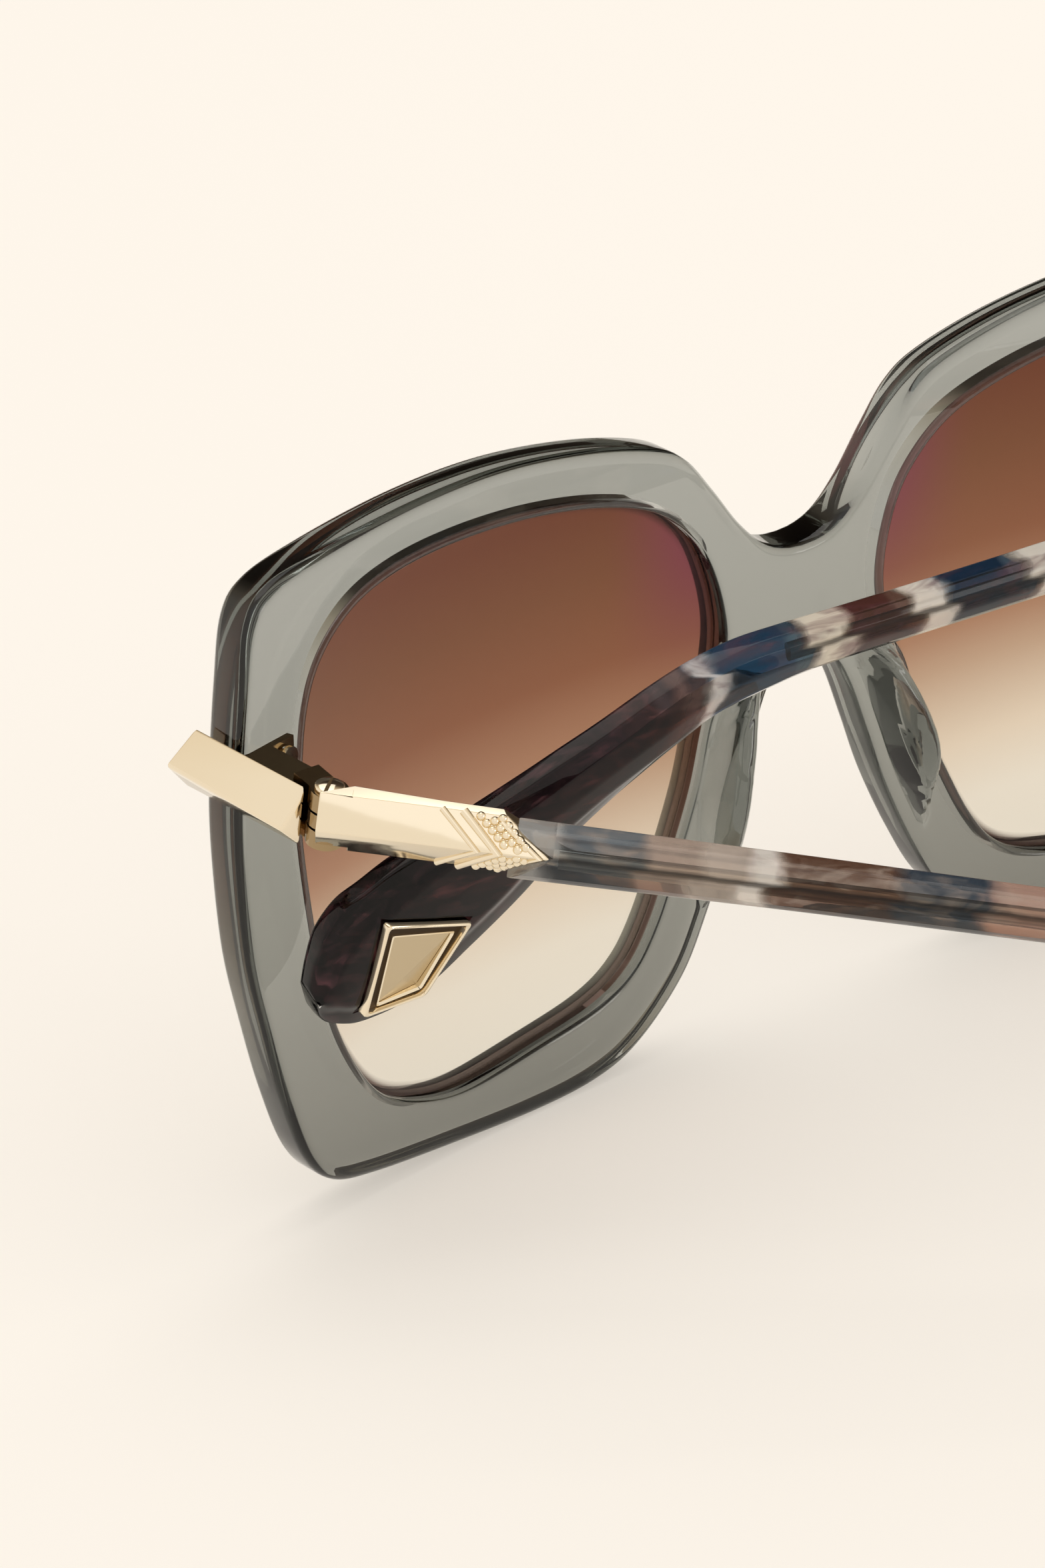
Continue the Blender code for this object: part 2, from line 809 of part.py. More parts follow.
screw_hole = rod(
    "screw_hole",
    (0, 0, -2 * barrel_half_height),
    (0, 0, 2 * barrel_half_height),
    screw_hole_radius,
)
cut(front_leaf, screw_hole, hinges["left"])
rivet_bore = rod(
    "rivet_bore", (-rivet_offset, -leaf_root_depth, 0), (-rivet_offset, leaf_root_depth, 0),
    rivet_hole_radius,
)
cut(front_leaf, rivet_bore, left_seat)

rivet_shank = rod(
    "rivet_shank", (-rivet_offset, -half - rivet_depth, 0), (-rivet_offset, half + 2 * fit_gap, 0),
    rivet_radius,
)
rivet_head = rod(
    "rivet_head",
    (-rivet_offset, half + fit_gap, 0),
    (-rivet_offset, half + fit_gap + rivet_head_height, 0),
    rivet_head_radius,
)
rivet = fuse("leaf_rivet_left", left_seat, pale_gold, [rivet_shank, rivet_head])

# Screw: a shank through the three knuckles and a low head on top.
head_from = barrel_half_height + fit_gap
shank = rod(
    "screw_shank", (0, 0, -barrel_half_height), (0, 0, head_from + screw_head_height / 2),
    screw_radius,
)
head = rod(
    "screw_head", (0, 0, head_from), (0, 0, head_from + screw_head_height), screw_head_radius
)
screw = fuse("hinge_screw_left", hinges["left"], hinge_metal, [shank, head])

# Everything from here on turns with the left arm.
turning = folds["left"]
knuckle = rod(
    "middle_knuckle", (0, 0, -middle_half_height), (0, 0, middle_half_height), barrel_radius
)
leaf_plate = box(
    "arm_leaf_plate",
    (-arm_leaf_inner, cap_neck, -arm_leaf_half_height),
    (arm_leaf_outer, arm_leaf_end, arm_leaf_half_height),
)
neck = box(
    "arm_leaf_neck",
    (-arm_leaf_inner, barrel_radius / 2, -middle_half_height),
    (arm_leaf_outer, cap_neck + arm_leaf_inner, middle_half_height),
)
arm_leaf = fuse("temple_leaf_left", turning, hinge_metal, [leaf_plate, neck, knuckle])
hole = rod(
    "leaf_screw_hole",
    (0, 0, -barrel_half_height),
    (0, 0, barrel_half_height),
    screw_hole_radius,
)
cut(arm_leaf, hole)

# Cap: arrow-headed roof with chevron ribs, a beaded panel and a raised border.
cap = new_object("temple_cap_left", cap_mesh(), turning, pale_gold)
chamfer(cap, metal_chamfer)
relief = box(
    "barrel_relief",
    (-cap_ridge_out, -2 * cap_neck, -2 * cap_top),
    (cap_barrel_clear, cap_neck, 2 * cap_top),
)
cut(cap, relief)
border_top = (cap_top_corner - border_set_in, cap_top - border_set_in)
border_ridge = (cap_tip - 2 * border_set_in, cap_ridge_up)
border_low = (cap_bottom_corner - border_set_in, -cap_bottom + border_set_in)
rib_top_end, rib_low_end = (rib_top, cap_top), (rib_top, -cap_bottom)
band_top_end, band_low_end = (band_top, cap_top), (band_top, -cap_bottom)
for name, radius, top, ridge, low in (
    ("cap_rib", rib_radius, rib_top_end, (rib_ridge, cap_ridge_up), rib_low_end),
    ("cap_band", band_radius, band_top_end, (band_ridge, cap_ridge_up), band_low_end),
    ("cap_border", rib_radius, border_top, border_ridge, border_low),
):
    rib = chevron_mesh(name, 1 / 2, top, ridge, low, radius)
    boolean(cap, new_object(name, rib, turning), "UNION")
beads = beads_mesh()
boolean(cap, new_object("cap_beads", beads, turning), "UNION")

# Acetate arm with the cap's arrow cut out of its end, a wire bore and the plaque's seat.
temple = new_object("temple_left", temple_mesh(), turning, havana_acetate)
reach = 2.3
apex = Vector((cap_tip + 2 * fit_gap, cap_ridge_up))
top_edge = Vector((cap_top_corner - cap_tip, cap_top - cap_ridge_up)) * reach
low_edge = Vector((cap_bottom_corner - cap_tip, -cap_bottom - cap_ridge_up)) * reach
notch = prism(
    "arrow_notch",
    arm_outline([apex, apex + top_edge, apex + low_edge], -temple_outer),
    (3 * temple_outer, 0, 0),
)
cut(temple, notch)
bore = rod(
    "core_bore",
    (core_out, core_start - barrel_radius, core_up),
    (core_out, core_end + fit_gap, core_up),
    core_bore_radius,
)
cut(temple, bore)
plaque = arm_points(plaque_shares)
seat_cut = prism(
    "plaque_seat",
    arm_outline(grown(plaque, fit_gap), plaque_floor),
    (temple_outer, 0, 0),
)
cut(temple, seat_cut)

core_mesh = rod(
    "temple_core",
    (core_out, core_start, core_up),
    (core_out, core_end, core_up),
    core_radius,
)
core = new_object("temple_core_left", core_mesh, turning, wire_metal)

bezel_floor = plaque_floor + fit_gap
window = arm_points(inlay_shares)
bezel_mesh = prism(
    "bezel", arm_outline(plaque, bezel_floor), (bezel_top - bezel_floor, 0, 0)
)
bezel = new_object("tip_bezel_left", bezel_mesh, turning, pale_gold)
chamfer(bezel, bezel_round, 2)
cut(bezel, prism("bezel_window", arm_outline(window, 0), (2 * bezel_top, 0, 0)))
inlay_mesh = prism(
    "inlay",
    arm_outline(grown(window, -fit_gap), bezel_floor),
    (inlay_top - bezel_floor, 0, 0),
)
bm = bmesh.new()
bm.from_mesh(inlay_mesh)
bm.verts.ensure_lookup_table()
outer_verts = [v for v in bm.verts if v.co.x > (bezel_floor + inlay_top) / 2]
outer_verts.sort(key=lambda v: v.co.z - v.co.y)
long_ends = [outer_verts[0], outer_verts[-1]]
bmesh.ops.connect_verts(bm, verts=long_ends)
for vert in long_ends:
    vert.co.x += inlay_crease
inlay = new_object("tip_inlay_left", mesh_from("inlay", bm), turning, brushed_gold)

# The right side is the mirror image of the left one, on its own hinge.
twin(lens, "lens_right", stand)
twin(bar, "endpiece_bar_right", stand)
twin(front_leaf, "front_leaf_right", bpy.data.objects["leaf_seat_right"])
twin(rivet, "leaf_rivet_right", bpy.data.objects["leaf_seat_right"])
twin(screw, "hinge_screw_right", hinges["right"])
for piece in (arm_leaf, cap, temple, core, bezel, inlay):
    twin(piece, piece.name.replace("_left", "_right"), folds["right"])

# Round pieces shade smooth, with their corners kept sharp.
for piece in model.objects:
    if piece.type == "MESH":
        piece.data.shade_smooth()
        piece.data.set_sharp_from_angle(angle=math.radians(30))

# The origin goes to the middle of the underside of the whole part.
bpy.context.view_layer.update()
graph = bpy.context.evaluated_depsgraph_get()
low, high = Vector([math.inf] * 3), Vector([-math.inf] * 3)
for piece in model.objects:
    if piece.type != "MESH":
        continue
    shape = piece.evaluated_get(graph)
    for vert in shape.data.vertices:
        place = shape.matrix_world @ vert.co
        low = Vector(map(min, low, place))
        high = Vector(map(max, high, place))
stand.location = (-(low.x + high.x) / 2, -(low.y + high.y) / 2, -low.z)
bpy.context.view_layer.update()
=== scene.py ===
"""The dressed square sunglasses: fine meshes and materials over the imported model, and a studio.

Lengths are in metres. The front is drawn flat in its own frame (X to the wearer's left, Y to the
face, Z up) and each arm in the arm's frame (X out, Y along, Z up the hinge pin).
"""

import bisect
import json
import math

import bmesh
import bpy
from mathutils import Matrix, Vector


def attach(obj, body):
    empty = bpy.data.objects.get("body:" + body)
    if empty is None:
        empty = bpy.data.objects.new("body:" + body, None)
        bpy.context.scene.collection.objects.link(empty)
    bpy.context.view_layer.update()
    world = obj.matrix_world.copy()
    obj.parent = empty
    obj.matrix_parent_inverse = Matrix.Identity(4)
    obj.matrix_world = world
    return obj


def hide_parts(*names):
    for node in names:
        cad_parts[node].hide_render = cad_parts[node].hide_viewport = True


bl_info = {
    "name": "Square sunglasses",
    "version": (1, 0, 0),
    "blender": (4, 5, 0),
    "location": "3D View > Sidebar > Sunglasses",
    "description": "Dresses the packed square sunglasses and sets the studio",
    "category": "Object",
}

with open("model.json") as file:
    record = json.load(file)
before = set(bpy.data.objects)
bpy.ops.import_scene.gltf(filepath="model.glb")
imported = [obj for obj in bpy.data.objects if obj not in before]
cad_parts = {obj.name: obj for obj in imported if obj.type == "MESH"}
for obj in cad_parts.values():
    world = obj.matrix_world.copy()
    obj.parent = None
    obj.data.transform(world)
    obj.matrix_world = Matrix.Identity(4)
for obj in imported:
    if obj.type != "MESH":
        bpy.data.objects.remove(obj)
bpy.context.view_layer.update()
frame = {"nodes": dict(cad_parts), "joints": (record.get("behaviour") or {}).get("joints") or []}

# The front leans back a little, and the arms are tilted down and turned about their pins.
LEAN = math.radians(1.856)
ARM_TILT = math.radians(12)
FOLD = {"left": math.radians(48.5), "right": math.radians(92)}
SIDES = {"left": 1, "right": -1}

HALF_FRONT = 0.071
BROW_HEIGHT = 0.0324
FRONT_THICKNESS = 0.005
WRAP_RADIUS = 0.244
PIN = Vector((0.0693, 0.021408, 0.0154))
RIM_CENTRE = Vector((0.036, 0.001))
ARM_LENGTH = 0.1364

# Outlines, as shares of HALF_FRONT and BROW_HEIGHT.
RIM_OUTLINE = (
    (0.0, 0.435), (0.051, 0.46), (0.093, 0.543), (0.138, 0.679), (0.18, 0.793),
    (0.232, 0.861), (0.345, 0.932), (0.493, 0.985), (0.648, 1.0), (0.817, 0.985),
    (0.918, 0.957), (0.961, 0.88), (0.98, 0.698), (0.997, 0.432), (1.0, 0.216),
    (0.989, -0.083), (0.963, -0.324), (0.932, -0.556), (0.894, -0.759), (0.845, -0.87),
    (0.769, -0.917), (0.634, -0.954), (0.479, -0.978), (0.366, -0.966), (0.289, -0.904),
    (0.214, -0.762), (0.168, -0.593), (0.125, -0.383), (0.097, -0.201), (0.07, -0.031),
    (0.045, 0.059), (0.0, 0.093),
)
LENS_OPENING = (
    (0.877, 0.201), (0.873, 0.37), (0.859, 0.556), (0.828, 0.685), (0.768, 0.781),
    (0.686, 0.824), (0.577, 0.83), (0.451, 0.806), (0.331, 0.753), (0.239, 0.676),
    (0.177, 0.556), (0.145, 0.42), (0.13, 0.247), (0.142, 0.077), (0.162, -0.019),
    (0.187, -0.204), (0.223, -0.389), (0.262, -0.562), (0.303, -0.673), (0.363, -0.738),
    (0.465, -0.775), (0.592, -0.799), (0.676, -0.769), (0.746, -0.694), (0.796, -0.559),
    (0.835, -0.37), (0.859, -0.123),
)
PAD_LINE = (
    (0.094, 0.13), (0.117, -0.031), (0.137, -0.173), (0.148, -0.281), (0.154, -0.386),
    (0.169, -0.509),
)
# Edges of the arm, as shares of ARM_LENGTH.
ARM_TOP = (
    (0.099, 0.0198), (0.2933, 0.018), (0.4619, 0.0158), (0.5718, 0.0152),
    (0.6452, 0.0156), (0.6818, 0.0146), (0.7126, 0.0086), (0.7441, -0.0022),
    (0.783, -0.0189), (0.8138, -0.0306), (0.8431, -0.0418), (0.8908, -0.0587),
    (0.937, -0.0733), (0.9633, -0.0858), (0.9809, -0.0946), (0.9941, -0.1122),
    (0.9985, -0.1334), (1.0, -0.1525),
)
ARM_BOTTOM = (
    (0.099, -0.0183), (0.2933, -0.0168), (0.4597, -0.0172), (0.5645, -0.0176),
    (0.6232, -0.0186), (0.6547, -0.0224), (0.6804, -0.0265), (0.7016, -0.032),
    (0.7265, -0.0447), (0.7522, -0.0594), (0.7764, -0.074), (0.8065, -0.096),
    (0.8372, -0.1261), (0.8754, -0.1554), (0.9142, -0.1811), (0.9531, -0.1891),
    (0.9817, -0.1848), (0.9927, -0.173),
)
PLAQUE = ((0.956, -0.1063), (0.8871, -0.1254), (0.9194, -0.173), (0.9677, -0.1752))
PLAQUE_WINDOW = ((0.9487, -0.1188), (0.8996, -0.1305), (0.9216, -0.1679), (0.956, -0.1708))

# What the clear pieces are seen against.
BACKDROP_SEEN = "#fcf4e9"
# The material that most of the metal pieces share.
GOLD = "polished_pale_gold"


def linear(code):
    """An sRGB hex colour as linear red, green, blue and alpha."""
    parts = [int(code[i : i + 2], 16) / 255 for i in (1, 3, 5)]
    return (*(p / 12.92 if p <= 0.04045 else ((p + 0.055) / 1.055) ** 2.4 for p in parts), 1)


def seen_through(colour):
    """The tint of a clear piece that shows this colour, hex or linear, before the backdrop."""
    wanted = linear(colour)[:3] if isinstance(colour, str) else colour
    pairs = zip(wanted, linear(BACKDROP_SEEN)[:3])
    return (*(min(seen / lit, 1) for seen, lit in pairs), 1)


# ---- Places ----

joint_pins = {joint["child"]: Vector(joint["pos_m"]) for joint in frame["joints"]}
lean_back = Matrix.Rotation(-LEAN, 4, "X")
STAND = Matrix.Translation(joint_pins["left_arm"] - lean_back @ PIN) @ lean_back


def front_place(side):
    """The front's frame in the row frame, the same for both sides."""
    return STAND


def hinge_place(side):
    """The hinge's frame in the row frame, before the arm is turned."""
    at = Vector((PIN.x * SIDES[side], PIN.y, PIN.z))
    return STAND @ Matrix.Translation(at) @ Matrix.Rotation(-ARM_TILT, 4, "X")


def arm_place(side):
    return hinge_place(side) @ Matrix.Rotation(FOLD[side] * SIDES[side], 4, "Z")


# ---- Meshes ----


def smooth_line(points, steps, closed=False):
    """Points along a smooth line through the given ones."""
    count = len(points)
    if closed:
        padded = [points[-1], *points, points[0], points[1]]
    else:
        padded = [points[0], *points, points[-1]]
        count -= 1
    line = []
    for i in range(count):
        a, b, c, d = padded[i : i + 4]
        for step in range(steps):
            t = step / steps
            bend = (2 * a - 5 * b + 4 * c - d) * t + (3 * b - a - 3 * c + d) * t * t
            line.append(b + ((c - a) * t + bend * t) / 2)
    if not closed:
        line.append(points[-1])
    return line


def on_front(shares):
    return [Vector((x * HALF_FRONT, z * BROW_HEIGHT)) for x, z in shares]


def on_arm(shares):
    return [Vector((along, up)) * ARM_LENGTH for along, up in shares]


def wrapped(point, depth):
    """A point of the flat front, depth below its back face, on the wrapped front."""
    return Vector((point.x, point.x**2 / (2 * WRAP_RADIUS) - depth, point.y))


class Outline:
    """A closed line round the lens, asked for by angle from the middle of the opening."""

    def __init__(self, line):
        table = []
        for point in line:
            arm = point - RIM_CENTRE
            table.append((math.atan2(arm.y, arm.x) % math.tau, arm.length))
        table.sort()
        first, last = table[0], table[-1]
        self.table = [(last[0] - math.tau, last[1]), *table, (first[0] + math.tau, first[1])]

    def at(self, angle):
        angle %= math.tau
        after = min(bisect.bisect(self.table, (angle, math.inf)), len(self.table) - 1)
        (a, near), (b, far) = self.table[after - 1], self.table[after]
        share = (angle - a) / (b - a) if b > a else 0
        distance = near + (far - near) * share
        return RIM_CENTRE + Vector((math.cos(angle), math.sin(angle))) * distance

    def away(self, angle):
        step = math.tau / 360
        run = self.at(angle + step) - self.at(angle - step)
        return Vector((run.y, -run.x)).normalized()


half_outline = on_front(RIM_OUTLINE)
lead_in = Vector((-half_outline[1].x, half_outline[1].y))
lead_out = Vector((-half_outline[-2].x, half_outline[-2].y))
RIM_STEPS = 16
# A rounded corner takes no more than this share of the sides it is between.
CORNER_SHARE = 0.45
rim = Outline(smooth_line([lead_in, *half_outline, lead_out], RIM_STEPS)[RIM_STEPS:-RIM_STEPS])
opening = Outline(smooth_line(on_front(LENS_OPENING), RIM_STEPS, closed=True))


def skin(rings, closed=False):
    """A surface over rings of points. A ring may be one point, and open ends get a face."""
    bm = bmesh.new()
    rows = []
    for ring in rings:
        points = [ring] if isinstance(ring, Vector) else ring
        rows.append([bm.verts.new(point) for point in points])
    pairs = list(zip(rows, rows[1:]))
    if closed:
        pairs.append((rows[-1], rows[0]))
    for here, there in pairs:
        for i in range(max(len(here), len(there))):
            corners = (
                here[i % len(here)], here[(i + 1) % len(here)],
                there[(i + 1) % len(there)], there[i % len(there)],
            )
            bm.faces.new(list(dict.fromkeys(corners)))
    for end in (rows[0], rows[-1]):
        if not closed and len(end) > 1:
            bm.faces.new(end)
    return bm


def mesh_from(name, bm):
    bmesh.ops.recalc_face_normals(bm, faces=bm.faces)
    if bm.calc_volume(signed=True) < 0:
        bmesh.ops.reverse_faces(bm, faces=bm.faces)
    made = bpy.data.meshes.new(name)
    bm.to_mesh(made)
    bm.free()
    return made


def prism(name, outline, rise):
    """A flat outline drawn out by the vector rise."""
    bm = bmesh.new()
    face = bm.faces.new([bm.verts.new(point) for point in outline])
    drawn = bmesh.ops.extrude_face_region(bm, geom=[face])["geom"]
    moved = [item for item in drawn if isinstance(item, bmesh.types.BMVert)]
    bmesh.ops.translate(bm, vec=rise, verts=moved)
    return mesh_from(name, bm)


def box(name, low, high):
    """A box from its lowest to its highest corner."""
    (x, y, z), (far_x, far_y, top) = low, high
    outline = [(x, y, z), (far_x, y, z), (far_x, far_y, z), (x, far_y, z)]
    return prism(name, outline, (0, 0, top - z))


def rounded(corners, radius, steps=3):
    """A closed flat outline with each corner turned into a short curve."""
    line = []
    befores, afters = corners[-1:] + corners[:-1], corners[1:] + corners[:1]
    for before, corner, after in zip(befores, corners, afters):
        back, ahead = before - corner, after - corner
        start = corner + back.normalized() * min(radius, back.length * CORNER_SHARE)
        end = corner + ahead.normalized() * min(radius, ahead.length * CORNER_SHARE)
        for step in range(steps + 1):
            t = step / steps
            line.append(start * (1 - t) ** 2 + corner * 2 * t * (1 - t) + end * t * t)
    return line


def grown(points, amount):
    """A four-sided outline with each side moved out by the amount."""
    middle = sum(points, Vector((0, 0))) / len(points)
    lines = []
    for a, b in zip(points, points[1:] + points[:1]):
        run = (b - a).normalized()
        away = Vector((run.y, -run.x))
        if away.dot(a - middle) < 0:
            away.negate()
        lines.append((a + away * amount, run))
    moved = []
    for (p, u), (q, v) in zip(lines[-1:] + lines[:-1], lines):
        moved.append(p + u * ((q - p).cross(v) / u.cross(v)))
    return moved


def linked(name, data):
    """A new object in the scene."""
    made = bpy.data.objects.new(name, data)
    bpy.context.scene.collection.objects.link(made)
    return made


def applied(made, *tools):
    """The evaluated mesh of a helper object, which is removed with the tools it used."""
    bpy.context.view_layer.update()
    graph = bpy.context.evaluated_depsgraph_get()
    mesh = bpy.data.meshes.new_from_object(made.evaluated_get(graph), depsgraph=graph)
    for used in (made, *tools):
        bpy.data.objects.remove(used)
    return mesh


def bevelled(mesh, width, segments=3, angle=25):
    made = linked("edge_tool", mesh)
    step = made.modifiers.new("Edges", "BEVEL")
    step.width = width
    step.segments = segments
    step.limit_method = "ANGLE"
    step.angle_limit = math.radians(angle)
    return applied(made)


def less(mesh, *cutters):
    """The mesh with the cutters' shapes taken out."""
    made = linked("cut_tool", mesh)
    tools = [linked("cutter", cutter) for cutter in cutters]
    for tool in tools:
        step = made.modifiers.new("Cut", "BOOLEAN")
        step.operation = "DIFFERENCE"
        step.solver = "EXACT"
        step.object = tool
    return applied(made, *tools)


def joined(name, meshes):
    bm = bmesh.new()
    for mesh in meshes:
        bm.from_mesh(mesh)
    made = bpy.data.meshes.new(name)
    bm.to_mesh(made)
    bm.free()
    return made


def mirrored(mesh, side):
    """The mesh itself for the left side, or its mirror image for the right one."""
    made = mesh.copy()
    if side == "right":
        made.transform(Matrix.Diagonal((-1, 1, 1, 1)))
        made.flip_normals()
    return made


def finish_piece(name, mesh, place, body, finish, replaces=(), sharp=32):
    """Puts a mesh in the row frame as a finished piece that rides on a body."""
    mesh.transform(place)
    mesh.materials.clear()
    mesh.materials.append(surface(finish))
    mesh.shade_smooth()
    mesh.set_sharp_from_angle(angle=math.radians(sharp))
    made = linked(name, mesh)
    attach(made, body)
    if replaces:
        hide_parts(*replaces)


def pair(name, mesh, place_of, finish, node="", sharp=32):
    """A finished piece on each side. The finish and the node, if any, may be that side's own."""
    for side in SIDES:
        body = f"{side}_arm" if place_of is arm_place else "front"
        replaces = (f"{node}_{side}",) if node else ()
        finish_piece(
            f"{name}_{side}", mirrored(mesh, side), place_of(side), body,
            finish.format(side=side), replaces, sharp,
        )


def kept_nodes(node, finish):
    """The CAD's own left and right node, whose shape is right, with their real surface."""
    for side in SIDES:
        data = frame["nodes"][f"{node}_{side}"].data
        data.materials.clear()
        data.materials.append(surface(finish))


# ---- Materials ----


def fill_in(tree, node, inputs):
    """Gives inputs of a node a value, or the output of another node."""
    for key, value in inputs.items():
        if isinstance(value, bpy.types.NodeSocket):
            tree.links.new(value, node.inputs[key])
        else:
            node.inputs[key].default_value = value


def add_node(tree, kind, inputs=None, **settings):
    """One node with its settings and inputs."""
    made = tree.nodes.new(kind)
    for key, value in settings.items():
        setattr(made, key, value)
    fill_in(tree, made, inputs or {})
    return made


def new_surface(name):
    """A material's empty tree, its shader and its output."""
    made = bpy.data.materials.new(name)
    made.use_nodes = True
    tree = made.node_tree
    tree.nodes.clear()
    shader = add_node(tree, "ShaderNodeBsdfPrincipled")
    output = add_node(tree, "ShaderNodeOutputMaterial", {"Surface": shader.outputs["BSDF"]})
    return tree, shader, output


def surface(name):
    """The shared material of that name."""
    return bpy.data.materials[name]


def number(tree, operation, *values):
    """The result of a sum on values or outputs."""
    made = add_node(tree, "ShaderNodeMath", dict(enumerate(values)), operation=operation)
    return made.outputs[0]


def spread(tree, value, given, wanted=(0.0, 1.0), **settings):
    """The value, moved from the given range to the wanted one and kept inside it."""
    keys = ("Value", "From Min", "From Max", "To Min", "To Max")
    inputs = dict(zip(keys, (value, *given, *wanted)))
    return add_node(tree, "ShaderNodeMapRange", inputs, **settings).outputs[0]


def ramp(tree, value, *entries):
    """A colour that follows the value through places and colours."""
    made = add_node(tree, "ShaderNodeValToRGB", {"Fac": value})
    elements = made.color_ramp.elements
    elements.remove(elements[-1])
    elements[0].position, elements[0].color = entries[0]
    for position, colour in entries[1:]:
        elements.new(position).color = colour
    return made.outputs["Color"]


def blend(tree, share, first, second):
    """The first colour, gone over to the second one by the share."""
    inputs = {0: share, 6: first, 7: second}
    return add_node(tree, "ShaderNodeMix", inputs, data_type="RGBA").outputs[2]


def object_place(tree):
    return add_node(tree, "ShaderNodeTexCoord").outputs["Object"]


def noise(tree, place, scale, detail=1.0, **others):
    inputs = {"Vector": place, "Scale": scale, "Detail": detail, **others}
    return add_node(tree, "ShaderNodeTexNoise", inputs).outputs["Fac"]


def bump(tree, height, strength, distance):
    inputs = {"Height": height, "Strength": strength, "Distance": distance}
    return add_node(tree, "ShaderNodeBump", inputs).outputs[0]


def dot_with(tree, place, direction):
    made = add_node(
        tree, "ShaderNodeVectorMath", {0: place, 1: direction}, operation="DOT_PRODUCT"
    )
    return made.outputs["Value"]


def mixed_out(tree, output, share, first, second):
    """Sends two shaders, mixed by the share, to the output."""
    inputs = {0: share, 1: first.outputs[0], 2: second.outputs[0]}
    mix = add_node(tree, "ShaderNodeMixShader", inputs)
    fill_in(tree, output, {"Surface": mix.outputs[0]})


def lighter_shadow(tree, shader, output, tint, share):
    """Lets light through to the floor, as a clear piece does, with its tint."""
    path = add_node(tree, "ShaderNodeLightPath")
    clear = add_node(tree, "ShaderNodeBsdfTransparent", {"Color": tint})
    amount = number(tree, "MULTIPLY", path.outputs["Is Shadow Ray"], share)
    mixed_out(tree, output, amount, shader, clear)


def deepening(tree, output, shade, depth):
    """Darkens a clear piece by its depth, so that it shows this colour where it is that deep."""
    losses = [-math.log(part) / depth for part in seen_through(shade)[:3]]
    density = 1.25 * max(losses)  # A little more than the greatest, so that no tint is black.
    tint = (*(1 - loss / density for loss in losses), 1)
    inside = add_node(tree, "ShaderNodeVolumeAbsorption", {"Color": tint, "Density": density})
    fill_in(tree, output, {"Volume": inside.outputs[0]})


def row_height(tree):
    """Height above the middle of the lenses, in metres, square to the leaning front."""
    up = STAND.to_3x3() @ Vector((0, 0, 1))
    height = dot_with(tree, object_place(tree), up)
    return number(tree, "SUBTRACT", height, up.dot(STAND.translation))


def tumbled_acetate(look):
    # Sheet cellulose acetate, tumbled and hand polished: clear grey, IOR 1.49, darker where it is
    # deeper. Painted shade darkens its colour from the upper rim, 32 mm above the middle, to the
    # lower one, 30 mm below it. The light crosses it slantwise, over 1.12 times its thickness. A
    # soft unevenness of the polish, 6 mm across, breaks up the reflections.
    tree, shader, output = new_surface("tumbled_grey_acetate")
    polish = noise(tree, object_place(tree), 160.0)
    fill_in(tree, shader, {
        # Painted shade: the colour darkens from the upper rim to the lower one.
        "Base Color": ramp(
            tree, spread(tree, row_height(tree), (-0.03, 0.032)),
            (0.0, linear("#cbc9c5")), (0.5, linear("#ecebe8")), (1.0, linear("#fdfdfd")),
        ),
        "Roughness": 0.015,
        "IOR": 1.49,
        "Transmission Weight": 1.0,
        "Normal": bump(tree, polish, 0.05, 0.0002),
    })
    deepening(tree, output, look.acetate_shade, FRONT_THICKNESS * 1.12)
    lighter_shadow(tree, shader, output, linear("#e7eaea"), 0.85)


def tinted_lens(look):
    # Cast polymer lens, dyed from brown at the top to cream at the bottom, IOR 1.5. Its coating
    # takes away most of the reflections; its rose sheen towards the nose is a painted reflection in
    # the colour. The lens is painted darker in its last 0.8 mm inside the opening.
    tree, shader, output = new_surface("dyed_gradient_lens")
    height = row_height(tree)
    tint = ramp(
        tree, spread(tree, height, (-0.027, 0.027)),
        (0.0, seen_through(look.lens_foot)), (0.17, seen_through("#ece0cc")),
        (0.28, seen_through("#e2ceb4")), (0.42, seen_through("#bd9d80")),
        (0.5, seen_through("#a67a5d")), (0.64, seen_through(look.lens_middle)),
        (0.8, seen_through("#764a30")), (0.95, seen_through(look.lens_top)),
    )
    split = add_node(tree, "ShaderNodeSeparateXYZ", {"Vector": object_place(tree)})
    side = number(tree, "ABSOLUTE", split.outputs["X"])
    # Painted reflection: the coating's rose sheen, high up near the nose.
    near_nose = spread(tree, side, (0.022, 0.009), interpolation_type="SMOOTHSTEP")
    high_up = spread(tree, height, (0.0, 0.02), interpolation_type="SMOOTHSTEP")
    painted_coating_sheen = number(tree, "MULTIPLY", near_nose, high_up)
    dye_and_sheen = blend(tree, painted_coating_sheen, tint, seen_through("#7a3a48"))
    # Painted darker over the last 0.8 mm inside the opening.
    inside = add_node(tree, "ShaderNodeAttribute", attribute_name="inside_rim")
    rim_darkening = spread(tree, inside.outputs["Fac"], (0.2, 0.85), (0.95, 0.0))
    fill_in(tree, shader, {
        "Base Color": blend(tree, rim_darkening, dye_and_sheen, seen_through("#3e241a")),
        "Roughness": 0.0,
        "IOR": 1.5,
        "Specular Tint": linear("#8a6f78"),
        "Transmission Weight": 1.0,
    })
    lighter_shadow(tree, shader, output, seen_through("#c8ab90"), 0.8)


